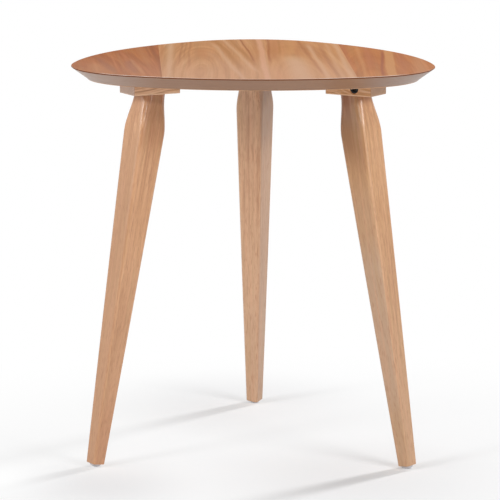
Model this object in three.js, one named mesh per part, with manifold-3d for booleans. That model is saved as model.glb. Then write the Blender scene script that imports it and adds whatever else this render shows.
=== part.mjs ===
// Side table: a rounded-triangle veneered top on three splayed, shaped wooden legs.
// Millimetres, +Z up, +X to the right, -Y to the front, where one long side of the top lies.
// The origin is on the floor, below the middle of the top's bounding box.

import * as THREE from 'three';
import { mergeVertices } from 'three/addons/utils/BufferGeometryUtils.js';
import Module from 'manifold-3d';

const wasm = await Module();
wasm.setup();

// Fits that every piece shares
const fitGap = 0.3;
const cutOverrun = 2;

// Tabletop, measured from the table's upright axis
const tableHeight = 550;
const topThickness = 18;
const veneerThickness = 0.6;
const topVertexReach = 265;
const topSideRadius = 408;
const topCornerRadius = 136;
const bevelInset = 22;
const edgeLip = 0.8;
// Joints between the veneer's leaves: where each crosses the middle of the top, as a share of the
// top's half width, and how far it leans to the right towards the front
const leafJoints = {
  left: { placeShare: -0.525, leanDegrees: 3.5 },
  middle: { placeShare: 0.081, leanDegrees: 1.5 },
  right: { placeShare: 0.525, leanDegrees: 2.5 },
};
// Lines well outside the top, which bound its outer leaves
const leftEnd = { placeShare: -2, leanDegrees: 0 };
const rightEnd = { placeShare: 2, leanDegrees: 0 };

// Mounting blocks under the top, long side along the radius, set in from the top's corner
const blockEndMargin = 68.5;
const blockLength = 70;
const blockWidth = 44;
const blockHeight = 19;
const blockEase = 0.8;

// Legs: rounded square section, narrow at the neck and full at the shoulder
const footInset = 16;
const shoulderDrop = 54;
const neckSide = 36.7;
const neckRounding = 13;
const shoulderSide = 43.2;
const shoulderRounding = 7;
const footSide = 19.4;
const footRounding = 3.5;
const taperSwell = 0.5;
const footEase = 0.8;

// Wood screws that hold a block to the panel
const screwShankRadius = 2;
const screwRootRadius = 1.3;
const screwHeadRadius = 4;
const screwHeadHeight = 2.6;
const screwHeadRecess = 0.4;
const screwBite = 11;
const screwThreadLength = 16;
const screwPointLength = 3;
const screwEndMargin = 7;
const screwSideMargin = 8;
const driveSlotLength = 4.4;
const driveSlotWidth = 1;
const driveSlotDepth = 1.6;

// Connecting stud, turned into the top of the leg
const studOffset = 9;
const studShankRadius = 3;
const studThreadRadius = 3.5;
const studRootRadius = 2.6;
const studWoodDepth = 28;
const studNotchRadius = 2;
const studNotchHeight = 3.2;
const studHeadHeight = 2.4;
const studEase = 0.6;

// Connector barrel in the side of the block, and the socket screw that pulls on the stud
const barrelRadius = 6;
const barrelRecess = 0.6;
const barrelTail = 6;
const barrelEase = 0.7;
const socketScrewRadius = 3;
const socketScrewRecess = 2.2;
const socketScrewPointLength = 2.6;
const socketScrewTipRadius = 0.8;
const hexSocketAcross = 3.4;
const hexSocketDepth = 3;

// Dowel that stops the leg from turning
const dowelOffset = 9;
const dowelRadius = 4;
const dowelBlockDepth = 13;
const dowelLegDepth = 17;
const dowelEase = 1;

// Nail-on glide under the foot
const glideRadius = 7.5;
const glideRimHeight = 1.5;
const glideDomeHeight = 3;
const glideFloorFlat = 0.3;
const nailShankRadius = 1.2;
const nailHeadRadius = 3;
const nailHeadHeight = 1;
const nailHeadCover = 1.2;
const nailLegDepth = 15;
const nailPointLength = 3;

// Counts of facets and steps
const cornerArcSteps = 12;
const sideArcSteps = 12;
const sectionArcSteps = 5;
const swellSteps = 9;
const taperSteps = 7;
const domeSteps = 4;
const screwThreadTurns = 5;
const studThreadTurns = 5;
const screwSides = 8;
const studSides = 12;
const dowelSides = 14;
const barrelSides = 20;
const glideSides = 20;
const nailSides = 8;
const hexSides = 6;

// The three corners: direction of each leg from the axis, and how far the leg's section is
// turned from having a ridge along that direction
const corners = [
  { name: 'rear', azimuthDegrees: 90, ridgeDegrees: 16 },
  { name: 'left', azimuthDegrees: 210, ridgeDegrees: 55.5 },
  { name: 'right', azimuthDegrees: 330, ridgeDegrees: -55.5 },
];

// Sizes worked out from the ones above
const halfTurn = Math.PI;
const quarterTurn = Math.PI / 2;
const thirdTurn = (2 * Math.PI) / 3;
const sixthTurn = Math.PI / 3;
const panelBottom = tableHeight - topThickness;
const coreBottom = panelBottom + veneerThickness;
const coreTop = tableHeight - veneerThickness;
const blockBottom = panelBottom - blockHeight;
const blockReach = topVertexReach - blockEndMargin - blockLength / 2;
const legFootReach = topVertexReach - footInset;
const legTop = blockBottom - fitGap;
const legRun = legFootReach - blockReach;
const splay = Math.atan2(legRun, blockBottom);
const glideHeight = glideRimHeight + glideDomeHeight;
const domeRadius = (glideRadius ** 2 + glideDomeHeight ** 2) / (2 * glideDomeHeight);
const domeCentreHeight = domeRadius - glideFloorFlat;
const domeCentreAlong = (blockBottom - domeCentreHeight) / Math.cos(splay);
const glideTipAlong = domeCentreAlong + domeRadius;
const legLength = glideTipAlong - glideHeight - fitGap;
const barrelHeight = blockHeight / 2;
const screwReachX = blockLength / 2 - screwEndMargin;
const screwReachY = blockWidth / 2 - screwSideMargin;

// Finishes
function finish(color, roughness, metalness) {
  return new THREE.MeshStandardMaterial({ color, roughness, metalness });
}

const finishes = {
  leafLeft: finish(0xb47c59, 0.4, 0),
  leafMidLeft: finish(0xc3966f, 0.4, 0),
  leafMidRight: finish(0xc99c74, 0.4, 0),
  leafRight: finish(0xbb845b, 0.4, 0),
  panelEdge: finish(0x94745f, 0.5, 0),
  backing: finish(0xb18863, 0.6, 0),
  block: finish(0xbf9470, 0.5, 0),
  leg: finish(0xc79a73, 0.42, 0),
  blackSteel: finish(0x1b1b1d, 0.4, 0.6),
  brightSteel: finish(0xb9bbbd, 0.35, 1),
  dowel: finish(0xd9b98c, 0.7, 0),
  glide: finish(0xd8d6d2, 0.55, 0),
};

// Welds a geometry to bare positions and drops the triangles that lathe poles leave empty
function weld(geometry) {
  const bare = geometry.clone();
  bare.deleteAttribute('normal');
  bare.deleteAttribute('uv');
  const merged = mergeVertices(bare);
  const kept = [];
  const index = merged.index.array;
  for (let corner = 0; corner < index.length; corner += 3) {
    const [a, b, c] = [index[corner], index[corner + 1], index[corner + 2]];
    if (a !== b && b !== c && c !== a) kept.push(a, b, c);
  }
  merged.setIndex(kept);
  return merged;
}

function solidFrom(geometry) {
  const welded = weld(geometry);
  const mesh = new wasm.Mesh({
    numProp: 3,
    vertProperties: new Float32Array(welded.attributes.position.array),
    triVerts: new Uint32Array(welded.index.array),
  });
  return new wasm.Manifold(mesh);
}

function geometryFrom(solid) {
  const mesh = solid.getMesh();
  const geometry = new THREE.BufferGeometry();
  geometry.setAttribute('position', new THREE.BufferAttribute(mesh.vertProperties, mesh.numProp));
  geometry.setIndex(new THREE.BufferAttribute(mesh.triVerts, 1));
  return geometry;
}

function carve(geometry, cutters) {
  let body = solidFrom(geometry);
  for (const cutter of cutters) body = body.subtract(solidFrom(cutter));
  return geometryFrom(body);
}

function overlapOf(geometry, keeper) {
  return geometryFrom(solidFrom(geometry).intersect(solidFrom(keeper)));
}

// A closed body skinned over rings of equally many points, from the lowest ring to the highest
function loft(rings) {
  const count = rings[0].length;
  const positions = rings.flat().flatMap((point) => [point.x, point.y, point.z]);
  const index = [];
  for (let ring = 0; ring + 1 < rings.length; ring += 1) {
    for (let step = 0; step < count; step += 1) {
      const next = (step + 1) % count;
      const low = ring * count;
      const high = low + count;
      index.push(low + step, low + next, high + next, low + step, high + next, high + step);
    }
  }
  const last = (rings.length - 1) * count;
  for (let step = 1; step + 1 < count; step += 1) {
    index.push(0, step + 1, step);
    index.push(last, last + step, last + step + 1);
  }
  const geometry = new THREE.BufferGeometry();
  geometry.setAttribute('position', new THREE.Float32BufferAttribute(positions, 3));
  geometry.setIndex(index);
  return geometry;
}

// A body turned about Z from [radius, height] pairs that start and end on the axis
function turned(profile, sides) {
  const points = profile.map(([radius, height]) => new THREE.Vector2(radius, height));
  return new THREE.LatheGeometry(points, sides).rotateX(quarterTurn);
}

function rod(radius, bottom, top, sides) {
  return turned([[0, bottom], [radius, bottom], [radius, top], [0, top]], sides);
}

function box(lengthX, lengthY, bottom, top) {
  const geometry = new THREE.BoxGeometry(lengthX, lengthY, top - bottom);
  return geometry.translate(0, 0, (bottom + top) / 2);
}

// A block with every edge eased by the same small chamfer, standing on z = 0
function easedBlock(length, width, height, ease) {
  const x = length / 2 - ease;
  const y = width / 2 - ease;
  const shape = new THREE.Shape([
    new THREE.Vector2(x, ease - y), new THREE.Vector2(x, y - ease),
    new THREE.Vector2(x - ease, y), new THREE.Vector2(ease - x, y),
    new THREE.Vector2(-x, y - ease), new THREE.Vector2(-x, ease - y),
    new THREE.Vector2(ease - x, -y), new THREE.Vector2(x - ease, -y),
  ]);
  const options = {
    depth: height - 2 * ease,
    bevelEnabled: true,
    bevelThickness: ease,
    bevelSize: ease,
    bevelSegments: 1,
  };
  return new THREE.ExtrudeGeometry(shape, options).translate(0, 0, ease);
}

// Ridges of a wood thread between two heights, each turn a ring that stands out from the root
function threadProfile(rootRadius, crestRadius, bottom, top, turns) {
  const pitch = (top - bottom) / turns;
  const profile = [];
  for (let turn = 0; turn < turns; turn += 1) {
    const start = bottom + turn * pitch;
    profile.push([rootRadius, start], [crestRadius, start + pitch / 2]);
  }
  profile.push([rootRadius, top]);
  return profile;
}

// Tabletop

function polar(radius, angle) {
  return new THREE.Vector2(radius * Math.cos(angle), radius * Math.sin(angle));
}

// The top's outline: three corner arcs and three long side arcs, tangent to each other
function topOutline(inset) {
  const cornerCentre = topVertexReach - topCornerRadius;
  const centreDistance = topSideRadius - topCornerRadius;
  const sideCentre = (Math.sqrt(4 * centreDistance ** 2 - 3 * cornerCentre ** 2) - cornerCentre) / 2;
  const halfSideSweep = Math.asin((cornerCentre * Math.sin(thirdTurn)) / centreDistance);
  const halfCornerSweep = sixthTurn - halfSideSweep;
  const points = [];
  for (let third = 0; third < 3; third += 1) {
    const vertex = quarterTurn + third * thirdTurn;
    const side = vertex + sixthTurn;
    const arcs = [
      [polar(cornerCentre, vertex), topCornerRadius - inset, vertex, halfCornerSweep, cornerArcSteps],
      [polar(-sideCentre, side), topSideRadius - inset, side, halfSideSweep, sideArcSteps],
    ];
    for (const [centre, radius, middle, halfSweep, steps] of arcs) {
      for (let step = 0; step < steps; step += 1) {
        const angle = middle - halfSweep + (2 * halfSweep * step) / steps;
        points.push(polar(radius, angle).add(centre));
      }
    }
  }
  return points;
}

function atHeight(outline, height) {
  return outline.map((point) => new THREE.Vector3(point.x, point.y, height));
}

function topSideReach() {
  return Math.max(...topOutline(0).map((point) => -point.y));
}

function topHalfWidth() {
  return Math.max(...topOutline(0).map((point) => point.x));
}

// Places of a block's four screws, from the middle of the block
function screwPlaces() {
  return [[1, 1], [-1, 1], [-1, -1], [1, -1]].map(([x, y]) => [x * screwReachX, y * screwReachY]);
}

// Pilot holes for all the blocks' screws, from below the panel up to a height
function pilotHoles(top) {
  const holes = [];
  for (const { azimuthDegrees } of corners) {
    for (const [x, y] of screwPlaces()) {
      const hole = rod(screwShankRadius + fitGap, panelBottom - cutOverrun, top, screwSides);
      hole.translate(blockReach + x, y, 0).rotateZ(THREE.MathUtils.degToRad(azimuthDegrees));
      holes.push(hole);
    }
  }
  return holes;
}

function topCore() {
  const rings = [
    atHeight(topOutline(bevelInset), coreBottom),
    atHeight(topOutline(0), coreTop - edgeLip),
    atHeight(topOutline(0), coreTop),
  ];
  return carve(loft(rings), pilotHoles(panelBottom + screwBite + fitGap));
}

function backingVeneer() {
  const outline = topOutline(bevelInset);
  const sheet = loft([atHeight(outline, panelBottom), atHeight(outline, coreBottom)]);
  return carve(sheet, pilotHoles(coreBottom + cutOverrun));
}

// Where a joint crosses a line that lies a distance behind the middle of the top
function jointPoint({ placeShare, leanDegrees }, behind) {
  const lean = Math.tan(THREE.MathUtils.degToRad(leanDegrees));
  return new THREE.Vector2(placeShare * topHalfWidth() - behind * lean, behind);
}

// One leaf of the face veneer, between two joints that run front to back
function faceLeaf(leftJoint, rightJoint) {
  const far = 2 * topVertexReach;
  const outline = topOutline(0);
  const sheet = loft([atHeight(outline, coreTop), atHeight(outline, tableHeight)]);
  const stripCorners = [
    jointPoint(leftJoint, -far), jointPoint(rightJoint, -far),
    jointPoint(rightJoint, far), jointPoint(leftJoint, far),
  ];
  const strip = loft([
    atHeight(stripCorners, coreTop - cutOverrun),
    atHeight(stripCorners, tableHeight + cutOverrun),
  ]);
  return overlapOf(sheet, strip);
}

// Mounting block, standing on z = 0 with the leg below it

function barrelBore() {
  const bore = rod(barrelRadius + fitGap, -blockWidth, barrelTail + fitGap, barrelSides);
  return bore.rotateX(-quarterTurn).translate(studOffset, 0, barrelHeight);
}

function screwClearance() {
  const radius = screwShankRadius + fitGap;
  const headRadius = screwHeadRadius + fitGap;
  const headTop = screwHeadRecess + screwHeadHeight;
  return turned([
    [0, -cutOverrun], [headRadius, -cutOverrun], [headRadius, screwHeadRecess + fitGap],
    [radius, headTop + fitGap], [radius, blockHeight + cutOverrun], [0, blockHeight + cutOverrun],
  ], screwSides);
}

function block() {
  const studHole = rod(studShankRadius + fitGap, -cutOverrun, studTop() + fitGap, studSides);
  const dowelHole = rod(dowelRadius + fitGap, -cutOverrun, dowelBlockDepth + fitGap, dowelSides);
  const cutters = [
    barrelBore(),
    studHole.translate(studOffset, 0, 0),
    dowelHole.translate(-dowelOffset, 0, 0),
  ];
  for (const [x, y] of screwPlaces()) cutters.push(screwClearance().translate(x, y, 0));
  return carve(easedBlock(blockLength, blockWidth, blockHeight, blockEase), cutters);
}

// Countersunk screw, its head at z = 0 and its point upwards
function blockScrew() {
  const length = blockHeight + screwBite - screwHeadRecess;
  const threadBottom = length - screwPointLength - screwThreadLength;
  const threadTop = length - screwPointLength;
  const body = turned([
    [0, 0], [screwHeadRadius, 0], [screwShankRadius, screwHeadHeight],
    [screwShankRadius, threadBottom - screwShankRadius],
    ...threadProfile(screwRootRadius, screwShankRadius, threadBottom, threadTop, screwThreadTurns),
    [0, length],
  ], screwSides);
  const slot = box(driveSlotLength, driveSlotWidth, -cutOverrun, driveSlotDepth);
  const crossSlot = box(driveSlotWidth, driveSlotLength, -cutOverrun, driveSlotDepth);
  return carve(body, [slot, crossSlot]);
}

// Leg, in its own frame: z = 0 where its axis meets the block, and the foot below

function smoothStep(share) {
  return share * share * (3 - 2 * share);
}

// Side and corner rounding of the section at a distance down from the block
function legSection(down) {
  const taperShare = Math.max(0, down - shoulderDrop) / (legLength - shoulderDrop);
  const swell = 4 * taperSwell * taperShare * (1 - taperShare);
  const side = THREE.MathUtils.lerp(shoulderSide, footSide, taperShare) + swell;
  const rounding = THREE.MathUtils.lerp(shoulderRounding, footRounding, taperShare);
  const swellShare = smoothStep(THREE.MathUtils.clamp(down / shoulderDrop, 0, 1));
  return {
    side: THREE.MathUtils.lerp(neckSide, side, swellShare),
    rounding: THREE.MathUtils.lerp(neckRounding, rounding, swellShare),
  };
}

// Rounded square whose ridges point along ridgeAngle and every quarter turn from it
function sectionRing(side, rounding, ridgeAngle, heightAt) {
  const cornerCentre = (side / 2 - rounding) * Math.SQRT2;
  const points = [];
  for (let corner = 0; corner < 4; corner += 1) {
    const ridge = ridgeAngle + corner * quarterTurn;
    for (let step = 0; step <= sectionArcSteps; step += 1) {
      const angle = ridge + quarterTurn * (step / sectionArcSteps - 1 / 2);
      const x = cornerCentre * Math.cos(ridge) + rounding * Math.cos(angle);
      const y = cornerCentre * Math.sin(ridge) + rounding * Math.sin(angle);
      points.push(new THREE.Vector3(x, y, heightAt(x)));
    }
  }
  return points;
}

// Distances of the leg's rings below the block, from the foot up to the neck
function legStations() {
  const stations = [];
  for (let step = taperSteps; step > 0; step -= 1) {
    stations.push(shoulderDrop + ((legLength - footEase - shoulderDrop) * step) / taperSteps);
  }
  for (let step = swellSteps; step > 0; step -= 1) stations.push((shoulderDrop * step) / swellSteps);
  return stations;
}

// The leg's top is cut level, although its axis leans by the splay
function levelCutHeight(x) {
  return (-fitGap - x * Math.sin(splay)) / Math.cos(splay);
}

// A hole bored straight up and down in the table, turned into the leg's leaning frame
function uprightHole(radius, depth, offset, sides) {
  const hole = rod(radius + fitGap, -depth - fitGap, blockHeight, sides);
  return hole.translate(offset, 0, 0).rotateY(splay);
}

function leg(ridgeDegrees) {
  const ridgeAngle = THREE.MathUtils.degToRad(ridgeDegrees);
  const foot = legSection(legLength);
  const rings = [
    sectionRing(foot.side - 2 * footEase, foot.rounding - footEase, ridgeAngle, () => -legLength),
  ];
  for (const down of legStations()) {
    const { side, rounding } = legSection(down);
    rings.push(sectionRing(side, rounding, ridgeAngle, () => -down));
  }
  const neck = legSection(0);
  rings.push(sectionRing(neck.side, neck.rounding, ridgeAngle, levelCutHeight));
  const nailTop = nailLegDepth + fitGap - legLength;
  return carve(loft(rings), [
    uprightHole(studThreadRadius, studWoodDepth, studOffset, studSides),
    uprightHole(dowelRadius, dowelLegDepth, -dowelOffset, dowelSides),
    rod(nailShankRadius + fitGap, -legLength - cutOverrun, nailTop, nailSides),
  ]);
}

// Leg joint, in the block's frame: z = 0 is the block's underside

function studTop() {
  return barrelHeight + studNotchHeight / 2 + studHeadHeight;
}

function legStud() {
  const notchBottom = barrelHeight - studNotchHeight / 2;
  const notchTop = barrelHeight + studNotchHeight / 2;
  const notchSlope = studShankRadius - studNotchRadius;
  return turned([
    [0, -studWoodDepth],
    ...threadProfile(studRootRadius, studThreadRadius, studEase - studWoodDepth, -studEase, studThreadTurns),
    [studShankRadius, -fitGap], [studShankRadius, notchBottom],
    [studNotchRadius, notchBottom + notchSlope], [studNotchRadius, notchTop - notchSlope],
    [studShankRadius, notchTop], [studShankRadius, studTop() - studEase],
    [studShankRadius - studEase, studTop()], [0, studTop()],
  ], studSides);
}

// Where the barrel's face, the socket screw's head and its point lie across the block
function barrelFace() {
  return barrelRecess - blockWidth / 2;
}

function connectorBarrel() {
  const body = turned([
    [0, barrelFace()], [barrelRadius - barrelEase, barrelFace()],
    [barrelRadius, barrelFace() + barrelEase],
    [barrelRadius, barrelTail - barrelEase], [barrelRadius - barrelEase, barrelTail], [0, barrelTail],
  ], barrelSides);
  const holeRadius = socketScrewRadius + fitGap;
  const mouthRadius = holeRadius + barrelEase;
  const screwHole = turned([
    [0, barrelFace() - cutOverrun], [mouthRadius, barrelFace() - cutOverrun],
    [mouthRadius, barrelFace()], [holeRadius, barrelFace() + barrelEase],
    [holeRadius, 0], [0, 0],
  ], studSides);
  const upright = (geometry) => geometry.rotateX(-quarterTurn);
  const studHoleTop = studTop() - barrelHeight + fitGap;
  const studHole = rod(studShankRadius + fitGap, -barrelRadius - cutOverrun, studHoleTop, studSides);
  return carve(upright(body), [upright(screwHole), studHole]);
}

// Socket screw, along +Y from its hexagon socket to its cone point against the stud's notch
function socketScrew() {
  const head = barrelFace() + socketScrewRecess;
  const tip = -studNotchRadius - fitGap;
  const body = turned([
    [0, head], [socketScrewRadius - studEase, head], [socketScrewRadius, head + studEase],
    [socketScrewRadius, tip - socketScrewPointLength], [socketScrewTipRadius, tip], [0, tip],
  ], studSides);
  const hexRadius = hexSocketAcross / 2 / Math.cos(halfTurn / hexSides);
  const socket = rod(hexRadius, head - cutOverrun, head + hexSocketDepth, hexSides);
  return carve(body, [socket]).rotateX(-quarterTurn);
}

function legDowel() {
  return turned([
    [0, -dowelLegDepth], [dowelRadius - dowelEase, -dowelLegDepth],
    [dowelRadius, dowelEase - dowelLegDepth],
    [dowelRadius, dowelBlockDepth - dowelEase], [dowelRadius - dowelEase, dowelBlockDepth],
    [0, dowelBlockDepth],
  ], dowelSides);
}

// Glide, on the leg's axis: z = 0 at the tip of its dome, with the nail upwards

function glideBody() {
  const domeSweep = Math.asin(glideRadius / domeRadius);
  const profile = [];
  for (let step = 0; step <= domeSteps; step += 1) {
    const angle = (domeSweep * step) / domeSteps;
    profile.push([domeRadius * Math.sin(angle), domeRadius * (1 - Math.cos(angle))]);
  }
  const pocketRadius = nailHeadRadius + fitGap;
  const pocketBottom = nailHeadCover - fitGap;
  const pocketTop = nailHeadCover + nailHeadHeight + fitGap;
  const shankHole = nailShankRadius + fitGap;
  profile.push(
    [glideRadius, glideHeight], [shankHole, glideHeight], [shankHole, pocketTop],
    [pocketRadius, pocketTop], [pocketRadius, pocketBottom], [0, pocketBottom],
  );
  return turned(profile, glideSides);
}

// Leans a piece on the leg's axis and sets it where the foot stands, then cuts it off at the floor
function glide() {
  const leaning = glideBody().rotateY(-splay);
  const reach = blockReach + glideTipAlong * Math.sin(splay);
  leaning.translate(reach, 0, blockBottom - glideTipAlong * Math.cos(splay));
  const underFloor = box(4 * glideRadius, 4 * glideRadius, -glideHeight, 0);
  return carve(leaning, [underFloor.translate(reach, 0, 0)]);
}

function glideNail() {
  const top = glideHeight + fitGap + nailLegDepth;
  return turned([
    [0, nailHeadCover], [nailHeadRadius, nailHeadCover],
    [nailHeadRadius, nailHeadCover + nailHeadHeight], [nailShankRadius, nailHeadCover + nailHeadHeight],
    [nailShankRadius, top - nailPointLength], [0, top],
  ], nailSides);
}

// Assembly

function piece(name, geometry, material, position = [0, 0, 0]) {
  const mesh = new THREE.Mesh(weld(geometry), material);
  mesh.name = name;
  mesh.position.set(...position);
  return mesh;
}

function topAssembly() {
  const top = new THREE.Group();
  const { left, middle, right } = leafJoints;
  top.add(
    piece('top_core', topCore(), finishes.panelEdge),
    piece('backing_veneer', backingVeneer(), finishes.backing),
    piece('face_veneer_left', faceLeaf(leftEnd, left), finishes.leafLeft),
    piece('face_veneer_mid_left', faceLeaf(left, middle), finishes.leafMidLeft),
    piece('face_veneer_mid_right', faceLeaf(middle, right), finishes.leafMidRight),
    piece('face_veneer_right', faceLeaf(right, rightEnd), finishes.leafRight),
  );
  return top;
}

// The block with what is screwed into it, at the block's place
function blockAssembly(name) {
  const assembly = new THREE.Group();
  assembly.position.set(blockReach, 0, blockBottom);
  assembly.add(piece(`block_${name}`, block(), finishes.block));
  screwPlaces().forEach(([x, y], index) => {
    const place = [x, y, screwHeadRecess];
    assembly.add(piece(`block_screw_${name}_${index + 1}`, blockScrew(), finishes.brightSteel, place));
  });
  assembly.add(
    piece(`leg_stud_${name}`, legStud(), finishes.brightSteel, [studOffset, 0, 0]),
    piece(`leg_dowel_${name}`, legDowel(), finishes.dowel, [-dowelOffset, 0, 0]),
    piece(`connector_barrel_${name}`, connectorBarrel(), finishes.blackSteel, [studOffset, 0, barrelHeight]),
    piece(`socket_screw_${name}`, socketScrew(), finishes.blackSteel, [studOffset, 0, barrelHeight]),
  );
  return assembly;
}

// The leg and its nail lean together; the glide is level where it stands
function legAssembly(name, ridgeDegrees) {
  const leaning = new THREE.Group();
  leaning.position.set(blockReach, 0, blockBottom);
  leaning.rotation.y = -splay;
  leaning.add(
    piece(`leg_${name}`, leg(ridgeDegrees), finishes.leg),
    piece(`glide_nail_${name}`, glideNail(), finishes.brightSteel, [0, 0, -glideTipAlong]),
  );
  return leaning;
}

function cornerAssembly({ name, azimuthDegrees, ridgeDegrees }) {
  const corner = new THREE.Group();
  corner.rotation.z = THREE.MathUtils.degToRad(azimuthDegrees);
  corner.add(blockAssembly(name), legAssembly(name, ridgeDegrees));
  corner.add(piece(`glide_${name}`, glide(), finishes.glide));
  return corner;
}

const table = new THREE.Group();
table.position.y = (topSideReach() - topVertexReach) / 2;
table.add(topAssembly(), ...corners.map(cornerAssembly));

export default table;
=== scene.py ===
"""Looks of a side table: a veneered top with three rounded corners on three splayed wooden legs.

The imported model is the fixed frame. Lengths are metres, +Z is up, +X is to the right and -Y is to
the front. The origin is on the floor, below the middle of the top's bounding box. Every fine
piece is modelled where its solid stands and replaces it.
"""

import contextlib
import logging
import math
from collections.abc import Callable, Iterator, Sequence
from dataclasses import dataclass
from enum import Enum

import bpy
from mathutils import Matrix, Vector


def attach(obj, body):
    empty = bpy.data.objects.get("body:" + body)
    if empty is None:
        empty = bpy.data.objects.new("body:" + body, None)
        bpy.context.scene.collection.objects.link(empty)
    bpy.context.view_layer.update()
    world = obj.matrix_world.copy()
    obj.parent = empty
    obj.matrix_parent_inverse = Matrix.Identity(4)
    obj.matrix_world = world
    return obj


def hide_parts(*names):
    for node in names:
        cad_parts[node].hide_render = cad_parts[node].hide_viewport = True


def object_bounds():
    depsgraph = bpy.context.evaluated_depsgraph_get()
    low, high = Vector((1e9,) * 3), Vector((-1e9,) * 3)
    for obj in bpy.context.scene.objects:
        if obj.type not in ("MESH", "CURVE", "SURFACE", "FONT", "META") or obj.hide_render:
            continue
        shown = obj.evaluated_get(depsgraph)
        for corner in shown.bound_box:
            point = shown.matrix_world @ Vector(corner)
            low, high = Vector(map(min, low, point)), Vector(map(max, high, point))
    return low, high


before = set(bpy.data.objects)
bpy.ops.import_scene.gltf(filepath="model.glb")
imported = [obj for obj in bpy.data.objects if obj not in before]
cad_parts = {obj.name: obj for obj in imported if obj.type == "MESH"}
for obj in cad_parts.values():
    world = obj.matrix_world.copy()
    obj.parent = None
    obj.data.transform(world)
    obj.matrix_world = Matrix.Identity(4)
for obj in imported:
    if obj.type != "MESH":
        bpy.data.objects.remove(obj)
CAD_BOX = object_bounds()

log = logging.getLogger("side_table")

BODY = "root"
WELD_DISTANCE = 1e-6
CUT_OVERRUN = 0.002
FIT_GAP = 0.0003
FULL_TURN = 2 * math.pi
QUARTER_TURN = FULL_TURN / 4
HEXAGON_SIDES = 6
# Edges that turn by more degrees than these stay sharp
BOARD_CREASE, LEAF_CREASE, GLIDE_CREASE, WOOD_CREASE, STEEL_CREASE = 25.0, 35.0, 35.0, 40.0, 30.0
# Range of a noise that gives the whole range of a tone, and the range for a roughness
NOISE_LOW, NOISE_MIDDLE, NOISE_HIGH = 0.25, 0.5, 0.75
GRAIN_LOW, GRAIN_HIGH = 0.2, 0.8
# Octaves and strength of the finer noise in growth bands
BAND_DETAIL, BAND_ROUGHNESS = 2.0, 0.6
WHITE = (1.0, 1.0, 1.0, 1.0)

Pair = tuple[float, float]
Point = tuple[float, float, float]
Colour = tuple[float, float, float, float]
Span = tuple[float, float, float, float]
Piece = bpy.types.Object
Finish = bpy.types.Material
Socket = bpy.types.NodeSocket
Feed = float | Sequence[float] | Socket


# Bench work: the steps that every piece shares


def select_only(piece: Piece) -> None:
    """Selects one object and nothing else, and makes it the active one."""
    bpy.ops.object.select_all(action="DESELECT")
    piece.select_set(True)
    bpy.context.view_layer.objects.active = piece


def started(name: str, primitive: Callable[..., set[str]], **sizes: object) -> Piece:
    """Adds the primitive that a piece is shaped from, and applies its place to its mesh.

    Args:
        name: Name of the new object.
        primitive: The operator that adds it.
        **sizes: Size and place of the primitive, as the operator takes them.

    Returns:
        The new object.
    """
    bpy.ops.object.select_all(action="DESELECT")
    primitive(**sizes)
    piece = bpy.context.object
    piece.name = name
    bpy.ops.object.transform_apply(location=True, rotation=True, scale=True)
    return piece


@contextlib.contextmanager
def editing(piece: Piece) -> Iterator[None]:
    """Holds a piece in edit mode, all of it selected at first, while the with block runs.

    Args:
        piece: The mesh object to edit.
    """
    select_only(piece)
    bpy.ops.object.mode_set(mode="EDIT")
    bpy.ops.mesh.select_all(action="SELECT")
    yield
    bpy.ops.object.mode_set(mode="OBJECT")


def select_open_rims() -> None:
    """Selects only the open rims of the mesh that is being edited."""
    bpy.ops.mesh.select_all(action="DESELECT")
    bpy.ops.mesh.select_non_manifold()


def tidy_mesh() -> None:
    """Merges doubled vertices of the mesh that is being edited and turns its faces outwards."""
    bpy.ops.mesh.select_all(action="SELECT")
    bpy.ops.mesh.remove_doubles(threshold=WELD_DISTANCE)
    bpy.ops.mesh.normals_make_consistent(inside=False)


def close_open_ends() -> None:
    """Fills each open rim of the mesh that is being edited and turns all faces outwards."""
    select_open_rims()
    bpy.ops.mesh.edge_face_add()
    tidy_mesh()


def drawn_profile(name: str, points: Sequence[Point]) -> Piece:
    """Draws an open line through points, as a mesh without faces.

    Args:
        name: Name of the new object.
        points: The line's points, in order.

    Returns:
        The new object.
    """
    piece = started(name, bpy.ops.mesh.primitive_plane_add, size=1)
    with editing(piece):
        bpy.ops.mesh.merge(type="CENTER")
        bpy.ops.transform.translate(value=points[0])
        for start, end in zip(points, points[1:]):
            step = tuple(Vector(end) - Vector(start))
            bpy.ops.mesh.extrude_region_move(TRANSFORM_OT_translate={"value": step})
    return piece


def turned(name: str, profile: Sequence[Pair], sides: int) -> Piece:
    """Turns a profile about the Z axis into a closed body.

    Args:
        name: Name of the new object.
        profile: Pairs of radius and height that start and end on the axis.
        sides: Number of facets round the axis.

    Returns:
        The turned body.
    """
    piece = drawn_profile(name, [(radius, 0.0, height) for radius, height in profile])
    with editing(piece):
        bpy.ops.mesh.spin(steps=sides, angle=FULL_TURN, center=(0, 0, 0), axis=(0, 0, 1))
        tidy_mesh()
    return piece


def bar(name: str, radius: float, low: float, high: float, sides: int) -> Piece:
    """A plain bar about the Z axis, from one height to another, to cut a hole with."""
    return turned(name, [(0.0, low), (radius, low), (radius, high), (0.0, high)], sides)


def between(low: float, high: float, share: float) -> float:
    """The number at a share of the way from one number to another."""
    return low + (high - low) * share


def arc_pairs(centre: Pair, radius: float, start: float, end: float, steps: int) -> list[Pair]:
    """Points of an arc in a profile, between two angles from outwards towards upwards."""
    angles = [start + (end - start) * step / steps for step in range(steps + 1)]
    return [(centre[0] + radius * math.cos(a), centre[1] + radius * math.sin(a)) for a in angles]


def place(piece: Piece, matrix: Matrix) -> None:
    """Moves a piece by a matrix and applies that to its mesh."""
    select_only(piece)
    piece.matrix_world = matrix @ piece.matrix_world
    bpy.ops.object.transform_apply(location=True, rotation=True, scale=True)


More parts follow.
